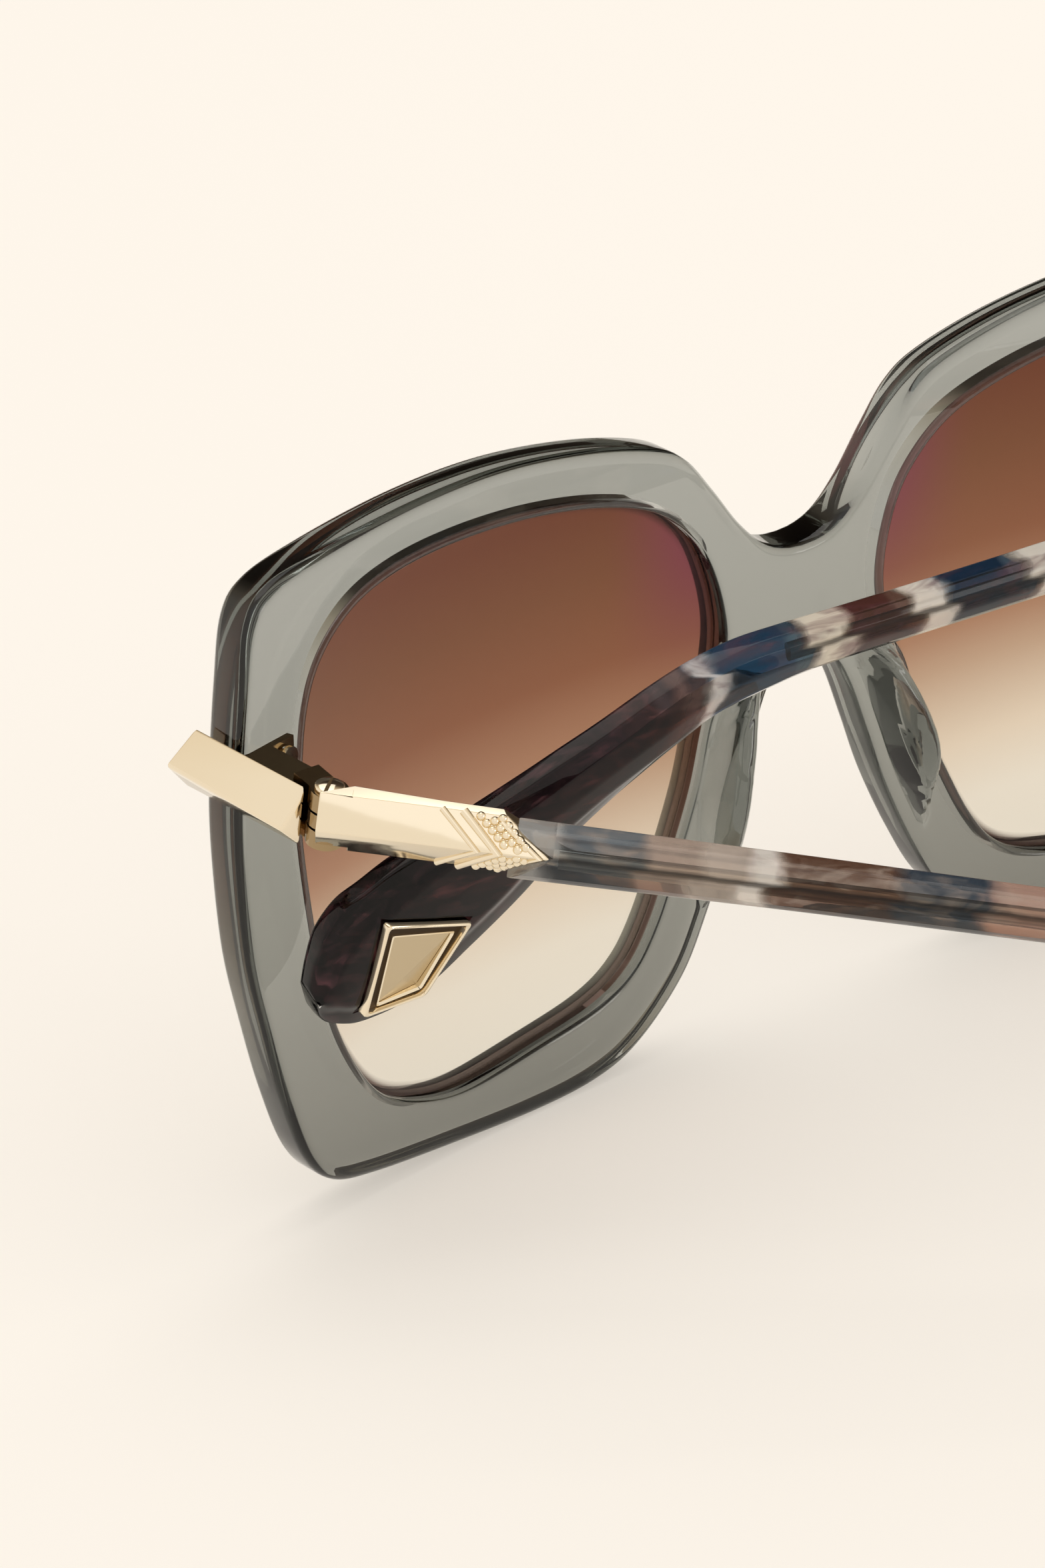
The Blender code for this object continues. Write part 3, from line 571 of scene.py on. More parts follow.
def mottled_acetate(name, streak_shade, bands):
    # Block-patterned acetate: slate, brown and pearl chips pressed together and polished. Each
    # chip is 3 to 12 mm long and they run slantwise over the arm, so the pattern follows the
    # arm's own place attribute, which is in millimetres. A second row above the middle is shifted
    # by 1.8 mm, streaks are 2 mm wide and 6 mm long, and the edges wander over 3 mm. The dark line
    # is painted shade for the wire and its channel seen through the acetate, and it ends 84 to 96
    # mm behind the pin.
    tree, shader, output = new_surface(name)
    place = add_node(tree, "ShaderNodeAttribute", attribute_name="arm_place").outputs["Vector"]
    split = add_node(tree, "ShaderNodeSeparateXYZ", {"Vector": place}).outputs
    wander = noise(tree, place, 0.3, 2.5, Roughness=0.6)
    shift = number(tree, "MULTIPLY_ADD", wander, 3.0, -1.5)
    slant = number(tree, "MULTIPLY_ADD", split["Z"], 0.3, shift)
    upper_row = spread(tree, split["Z"], (0.55, 0.8), (0.0, -1.8))
    along = number(tree, "ADD", split["Y"], number(tree, "ADD", slant, upper_row))
    first, last = bands[0][0], bands[-1][0] + 10.0
    half_seam = 0.6
    entries = []
    for (start, code), (end, _) in zip(bands, [*bands[1:], (last, "")]):
        for edge in (start + (half_seam if entries else 0), end - half_seam):
            entries.append(((edge - first) / (last - first), linear(code)))
    chips = ramp(tree, spread(tree, along, (first, last)), *entries)
    stretched = add_node(tree, "ShaderNodeMapping", {"Vector": place, "Scale": (1.0, 0.35, 1.0)})
    streak = noise(tree, stretched.outputs[0], 0.5, 3.0, Distortion=1.0)
    streak_share = spread(tree, streak, (0.5, 0.68), (0.0, 0.65))
    streaked = blend(tree, streak_share, chips, linear(streak_shade))
    # Painted shade: a dark line where the wire and its channel lie, seen through the acetate.
    wavy = number(tree, "MULTIPLY_ADD", shift, 0.15, split["Z"])
    off_line = number(tree, "ABSOLUTE", number(tree, "ADD", wavy, -0.7))
    line = spread(tree, off_line, (0.12, 0.38), (0.8, 0.0))
    shaft = spread(tree, split["Y"], (84.0, 96.0), (1.0, 0.0))
    fill_in(tree, shader, {
        "Base Color": blend(
            tree, number(tree, "MULTIPLY", line, shaft), streaked, linear("#1c1718")
        ),
        "Roughness": 0.02,
        "IOR": 1.49,
        "Specular Tint": linear("#b0b0b0"),
        "Transmission Weight": spread(tree, chips, (0.25, 0.7), (0.92, 0.45)),
    })
    lighter_shadow(tree, shader, output, linear("#bbb8b6"), 0.6)


def plated_gold(look):
    # Polished pale gold plating: a mirror with a faint ripple, 3 mm long, from the polishing wheel.
    tree, shader, _ = new_surface(GOLD)
    ripple = noise(tree, object_place(tree), 350.0)
    fill_in(tree, shader, {
        "Base Color": (*look.gold, 1),
        "Metallic": 1.0,
        "Roughness": 0.1,
        "Normal": bump(tree, ripple, 0.12, 0.0001),
    })


def brushed_gold():
    # Brushed pale gold: fine lines 0.1 mm apart, drawn 0.25 mm apart so that they show.
    tree, shader, _ = new_surface("satin_brushed_gold")
    turned = add_node(
        tree, "ShaderNodeMapping",
        {"Vector": object_place(tree), "Rotation": (0.3, 0.2, 0.9),
         "Scale": (300.0, 4000.0, 300.0)},
    )
    lines = noise(tree, turned.outputs[0], 1.0)
    fill_in(tree, shader, {
        "Base Color": linear("#ccbb9c"),
        "Metallic": 1.0,
        "Roughness": 0.32,
        "Normal": bump(tree, lines, 0.2, 0.00005),
    })


def worn_metal(name, shade, patches, smooth, dull):
    """A metal that is a little duller in patches, given as their number to the metre."""
    tree, shader, _ = new_surface(name)
    stain = noise(tree, object_place(tree), patches)
    fill_in(tree, shader, {
        "Base Color": linear(shade),
        "Metallic": 1.0,
        "Roughness": spread(tree, stain, (0.0, 1.0), (smooth, dull)),
    })


# ---- Geometry Nodes ----


def new_geometry_tree(name, inputs):
    """A tree with a geometry input and output and named inputs for its sizes."""
    tree = bpy.data.node_groups.new(name, "GeometryNodeTree")
    tree.interface.new_socket("Geometry", in_out="INPUT", socket_type="NodeSocketGeometry")
    for label, kind in inputs:
        tree.interface.new_socket(label, in_out="INPUT", socket_type=kind)
    tree.interface.new_socket("Geometry", in_out="OUTPUT", socket_type="NodeSocketGeometry")
    return tree, add_node(tree, "NodeGroupInput"), add_node(tree, "NodeGroupOutput")


def painted_out(tree, geometry, given, out):
    """The end of a tree: its instances are made real and get the finish."""
    real = add_node(tree, "GeometryNodeRealizeInstances", {"Geometry": geometry})
    painted = add_node(
        tree, "GeometryNodeSetMaterial",
        {"Geometry": real.outputs[0], "Material": given.outputs["Finish"]},
    )
    fill_in(tree, out, {0: painted.outputs[0]})


def beads_tree():
    """A small half-sunk bead at every point of the mesh."""
    tree, given, out = new_geometry_tree(
        "beads_on_points", (("Bead radius", "NodeSocketFloat"), ("Finish", "NodeSocketMaterial"))
    )
    ball = add_node(
        tree, "GeometryNodeMeshUVSphere",
        {"Segments": 16, "Rings": 10, "Radius": given.outputs["Bead radius"]},
    )
    strewn = add_node(
        tree, "GeometryNodeInstanceOnPoints",
        {"Points": given.outputs["Geometry"], "Instance": ball.outputs["Mesh"]},
    )
    painted_out(tree, strewn.outputs[0], given, out)
    return tree


def ribs_tree():
    """A round rib along every line of the mesh."""
    tree, given, out = new_geometry_tree(
        "ribs_on_lines", (("Rib radius", "NodeSocketFloat"), ("Finish", "NodeSocketMaterial"))
    )
    line = add_node(tree, "GeometryNodeMeshToCurve", {"Mesh": given.outputs["Geometry"]})
    section = add_node(
        tree, "GeometryNodeCurvePrimitiveCircle",
        {"Resolution": 14, "Radius": given.outputs["Rib radius"]},
    )
    swept = add_node(
        tree, "GeometryNodeCurveToMesh",
        {"Curve": line.outputs[0], "Profile Curve": section.outputs[0], "Fill Caps": True},
    )
    painted_out(tree, swept.outputs[0], given, out)
    return tree


def grown_by_tree(name, mesh, tree, values):
    """The plain mesh that a tree makes of this one."""
    made = linked(name, mesh)
    step = made.modifiers.new(name, "NODES")
    step.node_group = tree
    for item in tree.interface.items_tree:
        if item.item_type == "SOCKET" and item.in_out == "INPUT" and item.name in values:
            step[item.identifier] = values[item.name]
    return applied(made)


# ---- Settings ----


def colour_setting(name, description, code):
    return bpy.props.FloatVectorProperty(
        name=name, description=description, subtype="COLOR", size=3, min=0, max=1,
        default=linear(code)[:3],
    )


def length_setting(name, description, default, low, high):
    return bpy.props.FloatProperty(
        name=name, description=description, unit="LENGTH", subtype="DISTANCE",
        default=default, min=low, max=high,
    )


class SunglassesLook(bpy.types.PropertyGroup):
    acetate_shade: colour_setting("Front acetate", "Colour seen through the front", "#aaa89e")
    lens_top: colour_setting("Lens top", "Colour seen through the top of the lens", "#693a24")
    lens_middle: colour_setting(
        "Lens middle", "Colour seen through the middle of the lens", "#87573c"
    )
    lens_foot: colour_setting(
        "Lens bottom", "Colour seen through the bottom of the lens", "#efe5d3"
    )
    gold: colour_setting("Gold plating", "Reflection colour of the plating", "#efe2c9")
    backdrop: colour_setting("Backdrop", "Colour of the floor and the backdrop", "#fdf6ec")


class SunglassesSizes(bpy.types.PropertyGroup):
    edge_round: length_setting(
        "Edge rounding", "Radius of the outer edges of the front", 0.0012, 0.0002, 0.002
    )
    opening_round: length_setting(
        "Opening rounding", "Radius of the edges of the lens openings", 0.0005, 0.0001, 0.001
    )
    pad_height: length_setting(
        "Nose pad height", "How far the moulded pads stand off the back", 0.0046, 0.001, 0.006
    )
    pad_half_width: length_setting(
        "Nose pad half width", "Half the width of the moulded pads", 0.0028, 0.001, 0.004
    )
    metal_edge: length_setting(
        "Metal edge", "Width of the polished edges of the gold trim", 0.00022, 0.00005, 0.0004
    )
    bead_radius: length_setting(
        "Bead radius", "Radius of the beads on the caps", 0.00043, 0.0002, 0.0005
    )
    rib_radius: length_setting(
        "Rib radius", "Radius of the ribs on the caps", 0.0003, 0.0001, 0.0006
    )


# ---- Front ----

# Sections round one half of the front and up its middle, and points of a section on the back,
# on the face and on each rounded edge. The sections are spaced by steps of the opening.
COLUMNS = 440
BRIDGE_COLUMNS = 14
BACK_ROWS = 26
FACE_ROWS = 8
ARC_STEPS = 6
FINE_STEPS = 2000
PAD_STEPS = 12
# The lens groove, by depths below the back face.
GROOVE_START = 0.0012
GROOVE_END = 0.0036
GROOVE_DEPTH = 0.0008
# Flats nearer the middle than this are open faces, which the mirrored half closes.
MIDDLE_GAP = 1e-6

# The nose pad swells from its ends to its middle: the share of it that is its end, how full the
# swell is, its least width as a share, how full its section is, how far it leans outward, and
# how far from the middle of the front it reaches.
PAD_END = 0.02
PAD_FULLNESS = 0.7
PAD_LEAST_WIDTH = 0.6
PAD_SECTION = 1.3
PAD_LEAN = 0.2
PAD_REACH = 0.02


def rim_columns(edge_round):
    """Outer point, its outward direction and the angle, round one half of the front."""
    top, low = half_outline[0], half_outline[-1]
    start = math.atan2(top.y - RIM_CENTRE.y, -RIM_CENTRE.x)
    end = math.atan2(low.y - RIM_CENTRE.y, -RIM_CENTRE.x) - math.tau
    turn = (end - start) / FINE_STEPS
    fine = [opening.at(start + turn * i) for i in range(FINE_STEPS + 1)]
    length = [0.0]
    for a, b in zip(fine, fine[1:]):
        length.append(length[-1] + (b - a).length)
    columns = [(Vector((0, top.y)), Vector((0, 1)), start)]
    place = 0
    for i in range(1, COLUMNS):
        while length[place] < length[-1] * i / COLUMNS:
            place += 1
        angle = start + turn * place
        columns.append((rim.at(angle), rim.away(angle), angle))
    columns.append((Vector((0, low.y)), Vector((0, -1)), end))
    floor_z, span = low.y + edge_round, top.y - low.y - 2 * edge_round
    for i in range(BRIDGE_COLUMNS):
        z = floor_z + span * (i + 0.5) / BRIDGE_COLUMNS
        arm = Vector((0, z)) - RIM_CENTRE
        columns.append((Vector((0, z)), Vector((0, 0)), math.atan2(arm.y, arm.x)))
    return columns


pad_points = smooth_line(on_front(PAD_LINE), PAD_STEPS)


def pad_lift(point, sizes):
    """How far the moulded pad moves a point of the back face, to the face and outward."""
    best, place = 1.0, 0
    for i, centre in enumerate(pad_points):
        distance = (point - centre).length
        if distance < best:
            best, place = distance, i
    along = place / (len(pad_points) - 1)
    swell = math.sin(math.pi * min(max(along, PAD_END), 1 - PAD_END)) ** PAD_FULLNESS
    width = sizes.pad_half_width * (PAD_LEAST_WIDTH + (1 - PAD_LEAST_WIDTH) * swell)
    if best >= width:
        return 0.0
    return sizes.pad_height * swell * (1 - (best / width) ** 2) ** PAD_SECTION


def rim_section(outer, away, angle, sizes):
    """The rim's section, from the back round to the groove, as flat points with their depths."""
    outer_round, inner_round, deep = sizes.edge_round, sizes.opening_round, FRONT_THICKNESS
    arc = [math.pi / 2 * i / ARC_STEPS for i in range(ARC_STEPS + 1)]
    inner, into = opening.at(angle), opening.away(angle)
    back_start = inner + into * inner_round
    back_end = outer - away * outer_round

    def edge(start, run, radius, turn, level=0.0):
        # A point of a rounded edge that begins at the start, on the face at that level.
        return start + run * radius * math.sin(turn), abs(level - radius * (1 - math.cos(turn)))

    back = [(back_start.lerp(back_end, i / BACK_ROWS), 0.0) for i in range(BACK_ROWS + 1)]
    face = [(back_end.lerp(back_start, i / FACE_ROWS), deep) for i in range(1, FACE_ROWS + 1)]
    groove = [
        (inner, GROOVE_END), (inner + into * GROOVE_DEPTH, GROOVE_END),
        (inner + into * GROOVE_DEPTH, GROOVE_START), (inner, GROOVE_START),
    ]
    return [
        *back,
        *(edge(back_end, away, outer_round, turn) for turn in arc[1:]),
        *(edge(back_end, away, outer_round, turn, deep) for turn in arc[::-1]),
        *face,
        *(edge(back_start, -into, inner_round, turn, deep) for turn in arc[2::2]),
        *groove,
        *(edge(back_start, -into, inner_round, turn) for turn in arc[:1:-2]),
    ]


def front_half(sizes):
    """One half of the front, with rounded edges, the lens groove and its nose pad."""
    rings = []
    for outer, away, angle in rim_columns(sizes.edge_round):
        ring = []
        for i, (point, depth) in enumerate(rim_section(outer, away, angle, sizes)):
            placed = wrapped(point, depth)
            if 0 < i < BACK_ROWS and point.x < PAD_REACH:
                lift = pad_lift(point, sizes)
                placed += Vector((lift * PAD_LEAN, lift, 0))
            ring.append(placed)
        rings.append(ring)
    bm = skin(rings, closed=True)
    flat = [f for f in bm.faces if all(v.co.x < MIDDLE_GAP for v in f.verts)]
    bmesh.ops.delete(bm, geom=flat, context="FACES")
    return bm


class SUNGLASSES_OT_front(bpy.types.Operator):
    """Makes the acetate front with its moulded nose pads"""

    bl_idname = "sunglasses.front"
    bl_label = "Acetate front"

    def execute(self, context):
        bm = front_half(context.scene.sunglasses_sizes)
        geometry = [*bm.verts, *bm.edges, *bm.faces]
        bmesh.ops.mirror(bm, geom=geometry, matrix=Matrix(), merge_dist=MIDDLE_GAP, axis="X")
        bmesh.ops.remove_doubles(bm, verts=bm.verts, dist=MIDDLE_GAP)
        finish_piece(
            "acetate_front", mesh_from("acetate_front", bm), STAND, "front",
            "tumbled_grey_acetate", ("front_frame",), sharp=50,
        )
        return {"FINISHED"}


# ---- Lenses ----

# How far the lens goes into the groove, its depth under the front's back face, its thickness
# and how far it bulges from rim to middle.
LENS_GRIP = 0.0005
LENS_BACK = 0.0015
LENS_THICKNESS = 0.0018
LENS_BULGE = 0.002
LENS_COLUMNS = 300
LENS_RINGS = 24


def lens_mesh():
    """A lens with two bulging faces, and each point's distance inside the opening, in mm."""
    edge = []
    for i in range(LENS_COLUMNS):
        angle = math.tau * i / LENS_COLUMNS
        edge.append(opening.at(angle) + opening.away(angle) * LENS_GRIP)
    shares = [1 - i / LENS_RINGS for i in range(LENS_RINGS)]
    face = LENS_BACK + LENS_THICKNESS
    rings = [wrapped(RIM_CENTRE, LENS_BACK + LENS_BULGE)]
    for depth, order in ((LENS_BACK, shares[::-1]), (face, shares)):
        for share in order:
            sunk = depth + LENS_BULGE * (1 - share**2)
            rings.append([
                wrapped(RIM_CENTRE + (point - RIM_CENTRE) * share, sunk) for point in edge
            ])
    rings.append(wrapped(RIM_CENTRE, face + LENS_BULGE))
    mesh = mesh_from("lens", skin(rings))
    inside = mesh.attributes.new("inside_rim", "FLOAT", "POINT")
    for vert, entry in zip(mesh.vertices, inside.data):
        arm = Vector((vert.co.x, vert.co.z)) - RIM_CENTRE
        reach = (opening.at(math.atan2(arm.y, arm.x)) - RIM_CENTRE).length
        entry.value = (reach - arm.length) * 1000
    return mesh


class SUNGLASSES_OT_lenses(bpy.types.Operator):
    """Makes the two gradient lenses"""

    bl_idname = "sunglasses.lenses"
    bl_label = "Gradient lenses"

    def execute(self, context):
        pair(
            "dyed_lens", lens_mesh(), front_place, "dyed_gradient_lens",
            "lens", sharp=50,
        )
        return {"FINISHED"}


# ---- Metal ----

# The bar on the front's corner: its inner face, its ridge, and its section at the start and at
# the end. Each section has its place, the lean of the cut, the height of the lower edge from the
# pin's middle, and for the ridge and the top edge the height and the distance behind the cut.
BAR_INNER = 0.0711
BAR_RIDGE = 0.0732
BAR_SECTIONS = (
    (0.00313, 0.0, -0.0031, (-0.0005, -0.0003), (0.0032, 0.0017)),
    (PIN.y - 0.00095, math.tan(ARM_TILT), -0.003, (-0.0009, -0.0004), (0.0031, 0.0)),
)
# The bar's polished edges are wider than the other metal ones by this share.
BAR_EDGE_SHARE = 1.8

# The cap, from the pin: along the arm, outward and up.
CAP_FRONT = 0.0007
CAP_TIP = 0.0194
CAP_INNER = 0.0007
CAP_SIDE = 0.0015
CAP_RIDGE_OUT = 0.004
CAP_RIDGE_UP = 0.0008
CAP_TOP = 0.0031
CAP_BOTTOM = 0.0025
CAP_TOP_CORNER = 0.0154
CAP_BOTTOM_CORNER = 0.0156
# Its sections: place, how far out the top edge lies, its height, and the inner edge's height.
CAP_SECTIONS = (
    (-CAP_FRONT, 0.0022, 0.0036, 0.0039),
    (0.0098, CAP_SIDE, CAP_TOP, CAP_TOP + 0.0003),
    (CAP_TIP, CAP_SIDE, CAP_TOP, CAP_TOP + 0.0001),
)
# Room for the hinge's barrel at the front of the cap: two corners of a box.
BARREL_ROOM = ((-0.004, -0.004, -0.006), (0.002, 0.00205, 0.006))

# The chevrons on the cap: the radius as a share of the rib radius, and the places along and up
# on the top edge, the ridge and the lower edge.
BAND_EDGE = 0.01165
BAND_RIDGE = 0.015
BORDER_IN = 0.0004
CHEVRONS = (
    ("thin_rib", 1.0, (0.0098, CAP_TOP), (0.0132, CAP_RIDGE_UP), (0.0098, -CAP_BOTTOM)),
    ("band", 1.4, (BAND_EDGE, CAP_TOP), (BAND_RIDGE, CAP_RIDGE_UP), (BAND_EDGE, -CAP_BOTTOM)),
    ("border", 1.0,
     (CAP_TOP_CORNER - BORDER_IN, CAP_TOP - BORDER_IN), (CAP_TIP - 2 * BORDER_IN, CAP_RIDGE_UP),
     (CAP_BOTTOM_CORNER - BORDER_IN, -CAP_BOTTOM + BORDER_IN)),
)
BEAD_COLUMNS = (0.00118, 0.00212, 0.00306)
BEAD_ROWS = 5
BEAD_SUNK = 0.00008

# The hinge screw: radius and height, from the foot of its shank to the crown of its head.
SCREW_OUTLINE = (
    (0.0, -0.0027), (0.0007, -0.0027), (0.0007, 0.0027), (0.00124, 0.0027), (0.00132, 0.00278),
    (0.00132, 0.00294), (0.00128, 0.00302), (0.00115, 0.00309), (0.0009, 0.00319),
    (0.0006, 0.00327), (0.0003, 0.00331), (0.0, 0.00332),
)
SCREW_SLOT = ((-0.002, -0.00017, 0.0029), (0.002, 0.00017, 0.0039))
SCREW_TURN = math.radians(35)
SCREW_COLUMNS = 48


def bar_body():
    """The bar: a three-sided section whose ridge drops and ends early at the rear."""
    rings = []
    for along, lean, low, (ridge, early), (top, late) in BAR_SECTIONS:
        rings.append([
            Vector((out, along + shift + up * lean, PIN.z + up))
            for out, shift, up in (
                (BAR_INNER, 0.0, low), (BAR_RIDGE, early, ridge), (BAR_INNER, late, top)
            )
        ])
    return mesh_from("bar", skin(rings))


def on_cap(along, up, lift=0.0):
    """A point of the cap's upper or lower facet, lifted off it."""
    edge = CAP_TOP if up > CAP_RIDGE_UP else -CAP_BOTTOM
    run = (up - CAP_RIDGE_UP) / (edge - CAP_RIDGE_UP)
    return Vector((CAP_RIDGE_OUT - (CAP_RIDGE_OUT - CAP_SIDE) * run + lift, along, up))


def cap_body():
    """The cap's roof section, cut to an arrow head at the rear."""
    rings = []
    for along, top_out, top, inner_top in CAP_SECTIONS:
        section = (
            (CAP_INNER, -CAP_BOTTOM), (CAP_SIDE, -CAP_BOTTOM), (CAP_RIDGE_OUT, CAP_RIDGE_UP),
            (top_out, top), (CAP_INNER, inner_top),
        )
        rings.append([Vector((out, along, up)) for out, up in section])
    bm = skin(rings)
    bmesh.ops.recalc_face_normals(bm, faces=bm.faces)
    for corner, up, turn in ((CAP_TOP_CORNER, CAP_TOP, 1), (CAP_BOTTOM_CORNER, -CAP_BOTTOM, -1)):
        run = Vector((0, CAP_TIP - corner, CAP_RIDGE_UP - up))
        away = run.cross(Vector((turn, 0, 0)))
        if away.y < 0:
            away.negate()
        found = bmesh.ops.bisect_plane(
            bm, geom=[*bm.verts, *bm.edges, *bm.faces],
            plane_co=(0, CAP_TIP, CAP_RIDGE_UP), plane_no=away, clear_outer=True,
        )
        rim_edges = [g for g in found["geom_cut"] if isinstance(g, bmesh.types.BMEdge)]
        bmesh.ops.contextual_create(bm, geom=rim_edges)
    bmesh.ops.remove_doubles(bm, verts=bm.verts, dist=1e-5)
    return less(mesh_from("cap_roof", bm), box("barrel_room", *BARREL_ROOM))


def chevron(name, places, values, tree):
    """A rib along a bent line over the cap's ridge."""
    line = bpy.data.meshes.new(name)
    line.from_pydata([on_cap(*place) for place in places], [(0, 1), (1, 2)], [])
    return grown_by_tree(name, line, tree, values)


def bead_centres():
    """Slanted rows behind the band on both facets, every second one shifted by half a bead."""
    centres = []
    for edge in (CAP_TOP, -CAP_BOTTOM):
        for column, offset in enumerate(BEAD_COLUMNS):
            for row in range(BEAD_ROWS):
                share = (row + 0.6 + 0.5 * (column % 2)) / (BEAD_ROWS + 1)
                place = Vector((BAND_EDGE, edge)).lerp(Vector((BAND_RIDGE, CAP_RIDGE_UP)), share)
                centres.append(on_cap(place.x + offset, place.y, -BEAD_SUNK))
    return centres


class SUNGLASSES_OT_trim(bpy.types.Operator):
    """Makes the gold bars and the arrow caps with their ribs and beads"""

    bl_idname = "sunglasses.trim"
    bl_label = "Gold trim"

    def execute(self, context):
        sizes = context.scene.sunglasses_sizes
        gold = surface(GOLD)
        bar = bevelled(bar_body(), sizes.metal_edge * BAR_EDGE_SHARE, 4)
        pair("corner_bar", bar, front_place, GOLD, "endpiece_bar")
        parts = [bevelled(cap_body(), sizes.metal_edge)]
        ribs = ribs_tree()
        for name, share, *places in CHEVRONS:
            values = {"Rib radius": sizes.rib_radius * share, "Finish": gold}
            parts.append(chevron(name, places, values, ribs))
        points = bpy.data.meshes.new("bead_points")
        points.from_pydata(bead_centres(), [], [])
        values = {"Bead radius": sizes.bead_radius, "Finish": gold}
        parts.append(grown_by_tree("beads", points, beads_tree(), values))
        cap = joined("arrow_cap", parts)
        pair("arrow_cap", cap, arm_place, GOLD, "temple_cap")
        return {"FINISHED"}


def turned_screw():
    """A hinge screw with a low domed head and a driving slot."""
    rings = [Vector((0, 0, SCREW_OUTLINE[0][1]))]
    for radius, height in SCREW_OUTLINE[1:-1]:
        rings.append([
            Vector((math.cos(a) * radius, math.sin(a) * radius, height))
            for a in (math.tau * i / SCREW_COLUMNS for i in range(SCREW_COLUMNS))
        ])
    rings.append(Vector((0, 0, SCREW_OUTLINE[-1][1])))
    screw = less(mesh_from("screw", skin(rings)), box("slot", *SCREW_SLOT))
    screw.transform(Matrix.Rotation(SCREW_TURN, 4, "Z"))
    return screw


class SUNGLASSES_OT_hinges(bpy.types.Operator):
    """Makes the hinge screws and finishes the hinge leaves, rivets and wires"""

    bl_idname = "sunglasses.hinges"
    bl_label = "Hinges"

    def execute(self, context):
        screw = turned_screw()
        pair("slotted_screw", screw, hinge_place, GOLD, "hinge_screw", sharp=40)
        kept_nodes("front_leaf", "barrelled_hinge_brass")
        kept_nodes("temple_leaf", "barrelled_hinge_brass")
        kept_nodes("leaf_rivet", GOLD)
        kept_nodes("temple_core", "drawn_nickel_silver")
        return {"FINISHED"}


# ---- Arms ----

# The arm's section: its inner and outer faces, the chamfer's width and depth, and the depth at
# its sides. From TIP_START on, over TIP_RUN, the chamfer becomes wider and deeper by TIP_CHAMFER
# and TIP_DEPTH, and a second line, TIP_FACE further in, rises by the share TIP_FLAT of the depth.
ARM_INNER = 0.0006
ARM_OUTER = 0.0039
CHAMFER = 0.001
CHAMFER_DEPTH = 0.00045
SIDE_DEPTH = 0.0012
TIP_START = 0.098
TIP_RUN = 0.022
TIP_CHAMFER = 0.0012
TIP_DEPTH = 0.0002
TIP_FACE = 0.0011
TIP_FLAT = 0.85
# The last stretch of the arm is thinner, and its corners are rounded all along.
END_RUN = 0.0026
END_THINNING = 0.0009
ARM_ROUND = 0.0004
ARM_STEPS = 9
# The notch for the cap's arrow head, whose cutter is larger than the head and goes right
# through the arm, and the seat of the plaque.
NOTCH_GAP = 0.0003
NOTCH_SHARE = 2.3
NOTCH_FROM = -0.004
NOTCH_DEPTH = 0.012
SEAT_GAP = 0.0002
SEAT_FLOOR = 0.0031
SEAT_DEPTH = 0.004

# The plaque's rim: how far each line of its section lies outside of the plaque's edge or of the
# window, and its height, from the outer wall over the channel to the window's wall.
WINDOW_IN = 0.0003
RIM_CORNER = 0.0005
WINDOW_CORNER = 0.00025
RIM_OUTSIDE = (
    (0.0, 0.0034), (0.0, 0.00435), (-0.00007, 0.00452), (-0.0002, 0.0046), (-0.0003, 0.00456),
    (-0.00036, 0.00445), (-0.00038, 0.0037),
)
RIM_INSIDE = (
    (0.00038, 0.0037), (0.00034, 0.0041), (0.00026, 0.0042), (0.0001, 0.0040), (0.0001, 0.0034),
)
CHANNEL_HEIGHTS = (0.0036, 0.00395)
CHANNEL_OUTSIDE = -0.00034
CHANNEL_INSIDE = 0.00036
CHANNEL_CORNER = 0.0003
# The inset: its floor, its two low and its two high corners, and its bevelled edge.
INSET_GROWTH = 0.00008
INSET_EDGE = 0.00006
INSET_FLOOR = 0.0034
INSET_LOW = 0.0035
INSET_HIGH = 0.00392


def at_height(points, out):
    """Flat points of the arm at one distance out from the pin."""
    return [Vector((out, p.x, p.y)) for p in points]


def arm_mesh():
    """The acetate arm, from behind the cap to the tip, faceted and rounded as it is tumbled."""
    rings = []
    edges = (smooth_line(on_arm(shares), ARM_STEPS) for shares in (ARM_TOP, ARM_BOTTOM))
    for top, bottom in zip(*edges):
        height = (top - bottom).length
        across = (top - bottom).normalized()
        along = (top.x + bottom.x) / 2
        tip_share = min(max((along - TIP_START) / TIP_RUN, 0.0), 1.0)
        edge = min(CHAMFER + TIP_CHAMFER * tip_share, height / 4)
        drop = CHAMFER_DEPTH + TIP_DEPTH * tip_share
        crown = ARM_OUTER - END_THINNING * max(0.0, 1 - (ARM_LENGTH - along) / END_RUN)
        face = edge + TIP_FACE * tip_share
        low = crown - drop * (1 - TIP_FLAT * tip_share)
        corners = [
            Vector((0, ARM_INNER)), Vector((height, ARM_INNER)),
            Vector((height, crown - SIDE_DEPTH)), Vector((height - edge, crown - drop)),
            Vector((height - face, low)), Vector((height / 2, crown)), Vector((face, low)),
            Vector((edge, crown - drop)), Vector((0, crown - SIDE_DEPTH)),
        ]
        ring = []
        for place in rounded(corners, min(ARM_ROUND, height / 6)):
            point = bottom + across * place.x
            ring.append(Vector((place.y, point.x, point.y)))
        rings.append(ring)
    apex = Vector((CAP_TIP + NOTCH_GAP, CAP_RIDGE_UP))
    top_edge = Vector((CAP_TOP_CORNER - CAP_TIP, CAP_TOP - CAP_RIDGE_UP)) * NOTCH_SHARE
    low_edge = Vector((CAP_BOTTOM_CORNER - CAP_TIP, -CAP_BOTTOM - CAP_RIDGE_UP)) * NOTCH_SHARE
    arrow = at_height((apex, apex + top_edge, apex + low_edge), NOTCH_FROM)
    seat = at_height(grown(on_arm(PLAQUE), SEAT_GAP), SEAT_FLOOR)
    return less(
        mesh_from("arm", skin(rings)), prism("notch", arrow, (NOTCH_DEPTH, 0, 0)),
        prism("seat", seat, (SEAT_DEPTH, 0, 0)),
    )


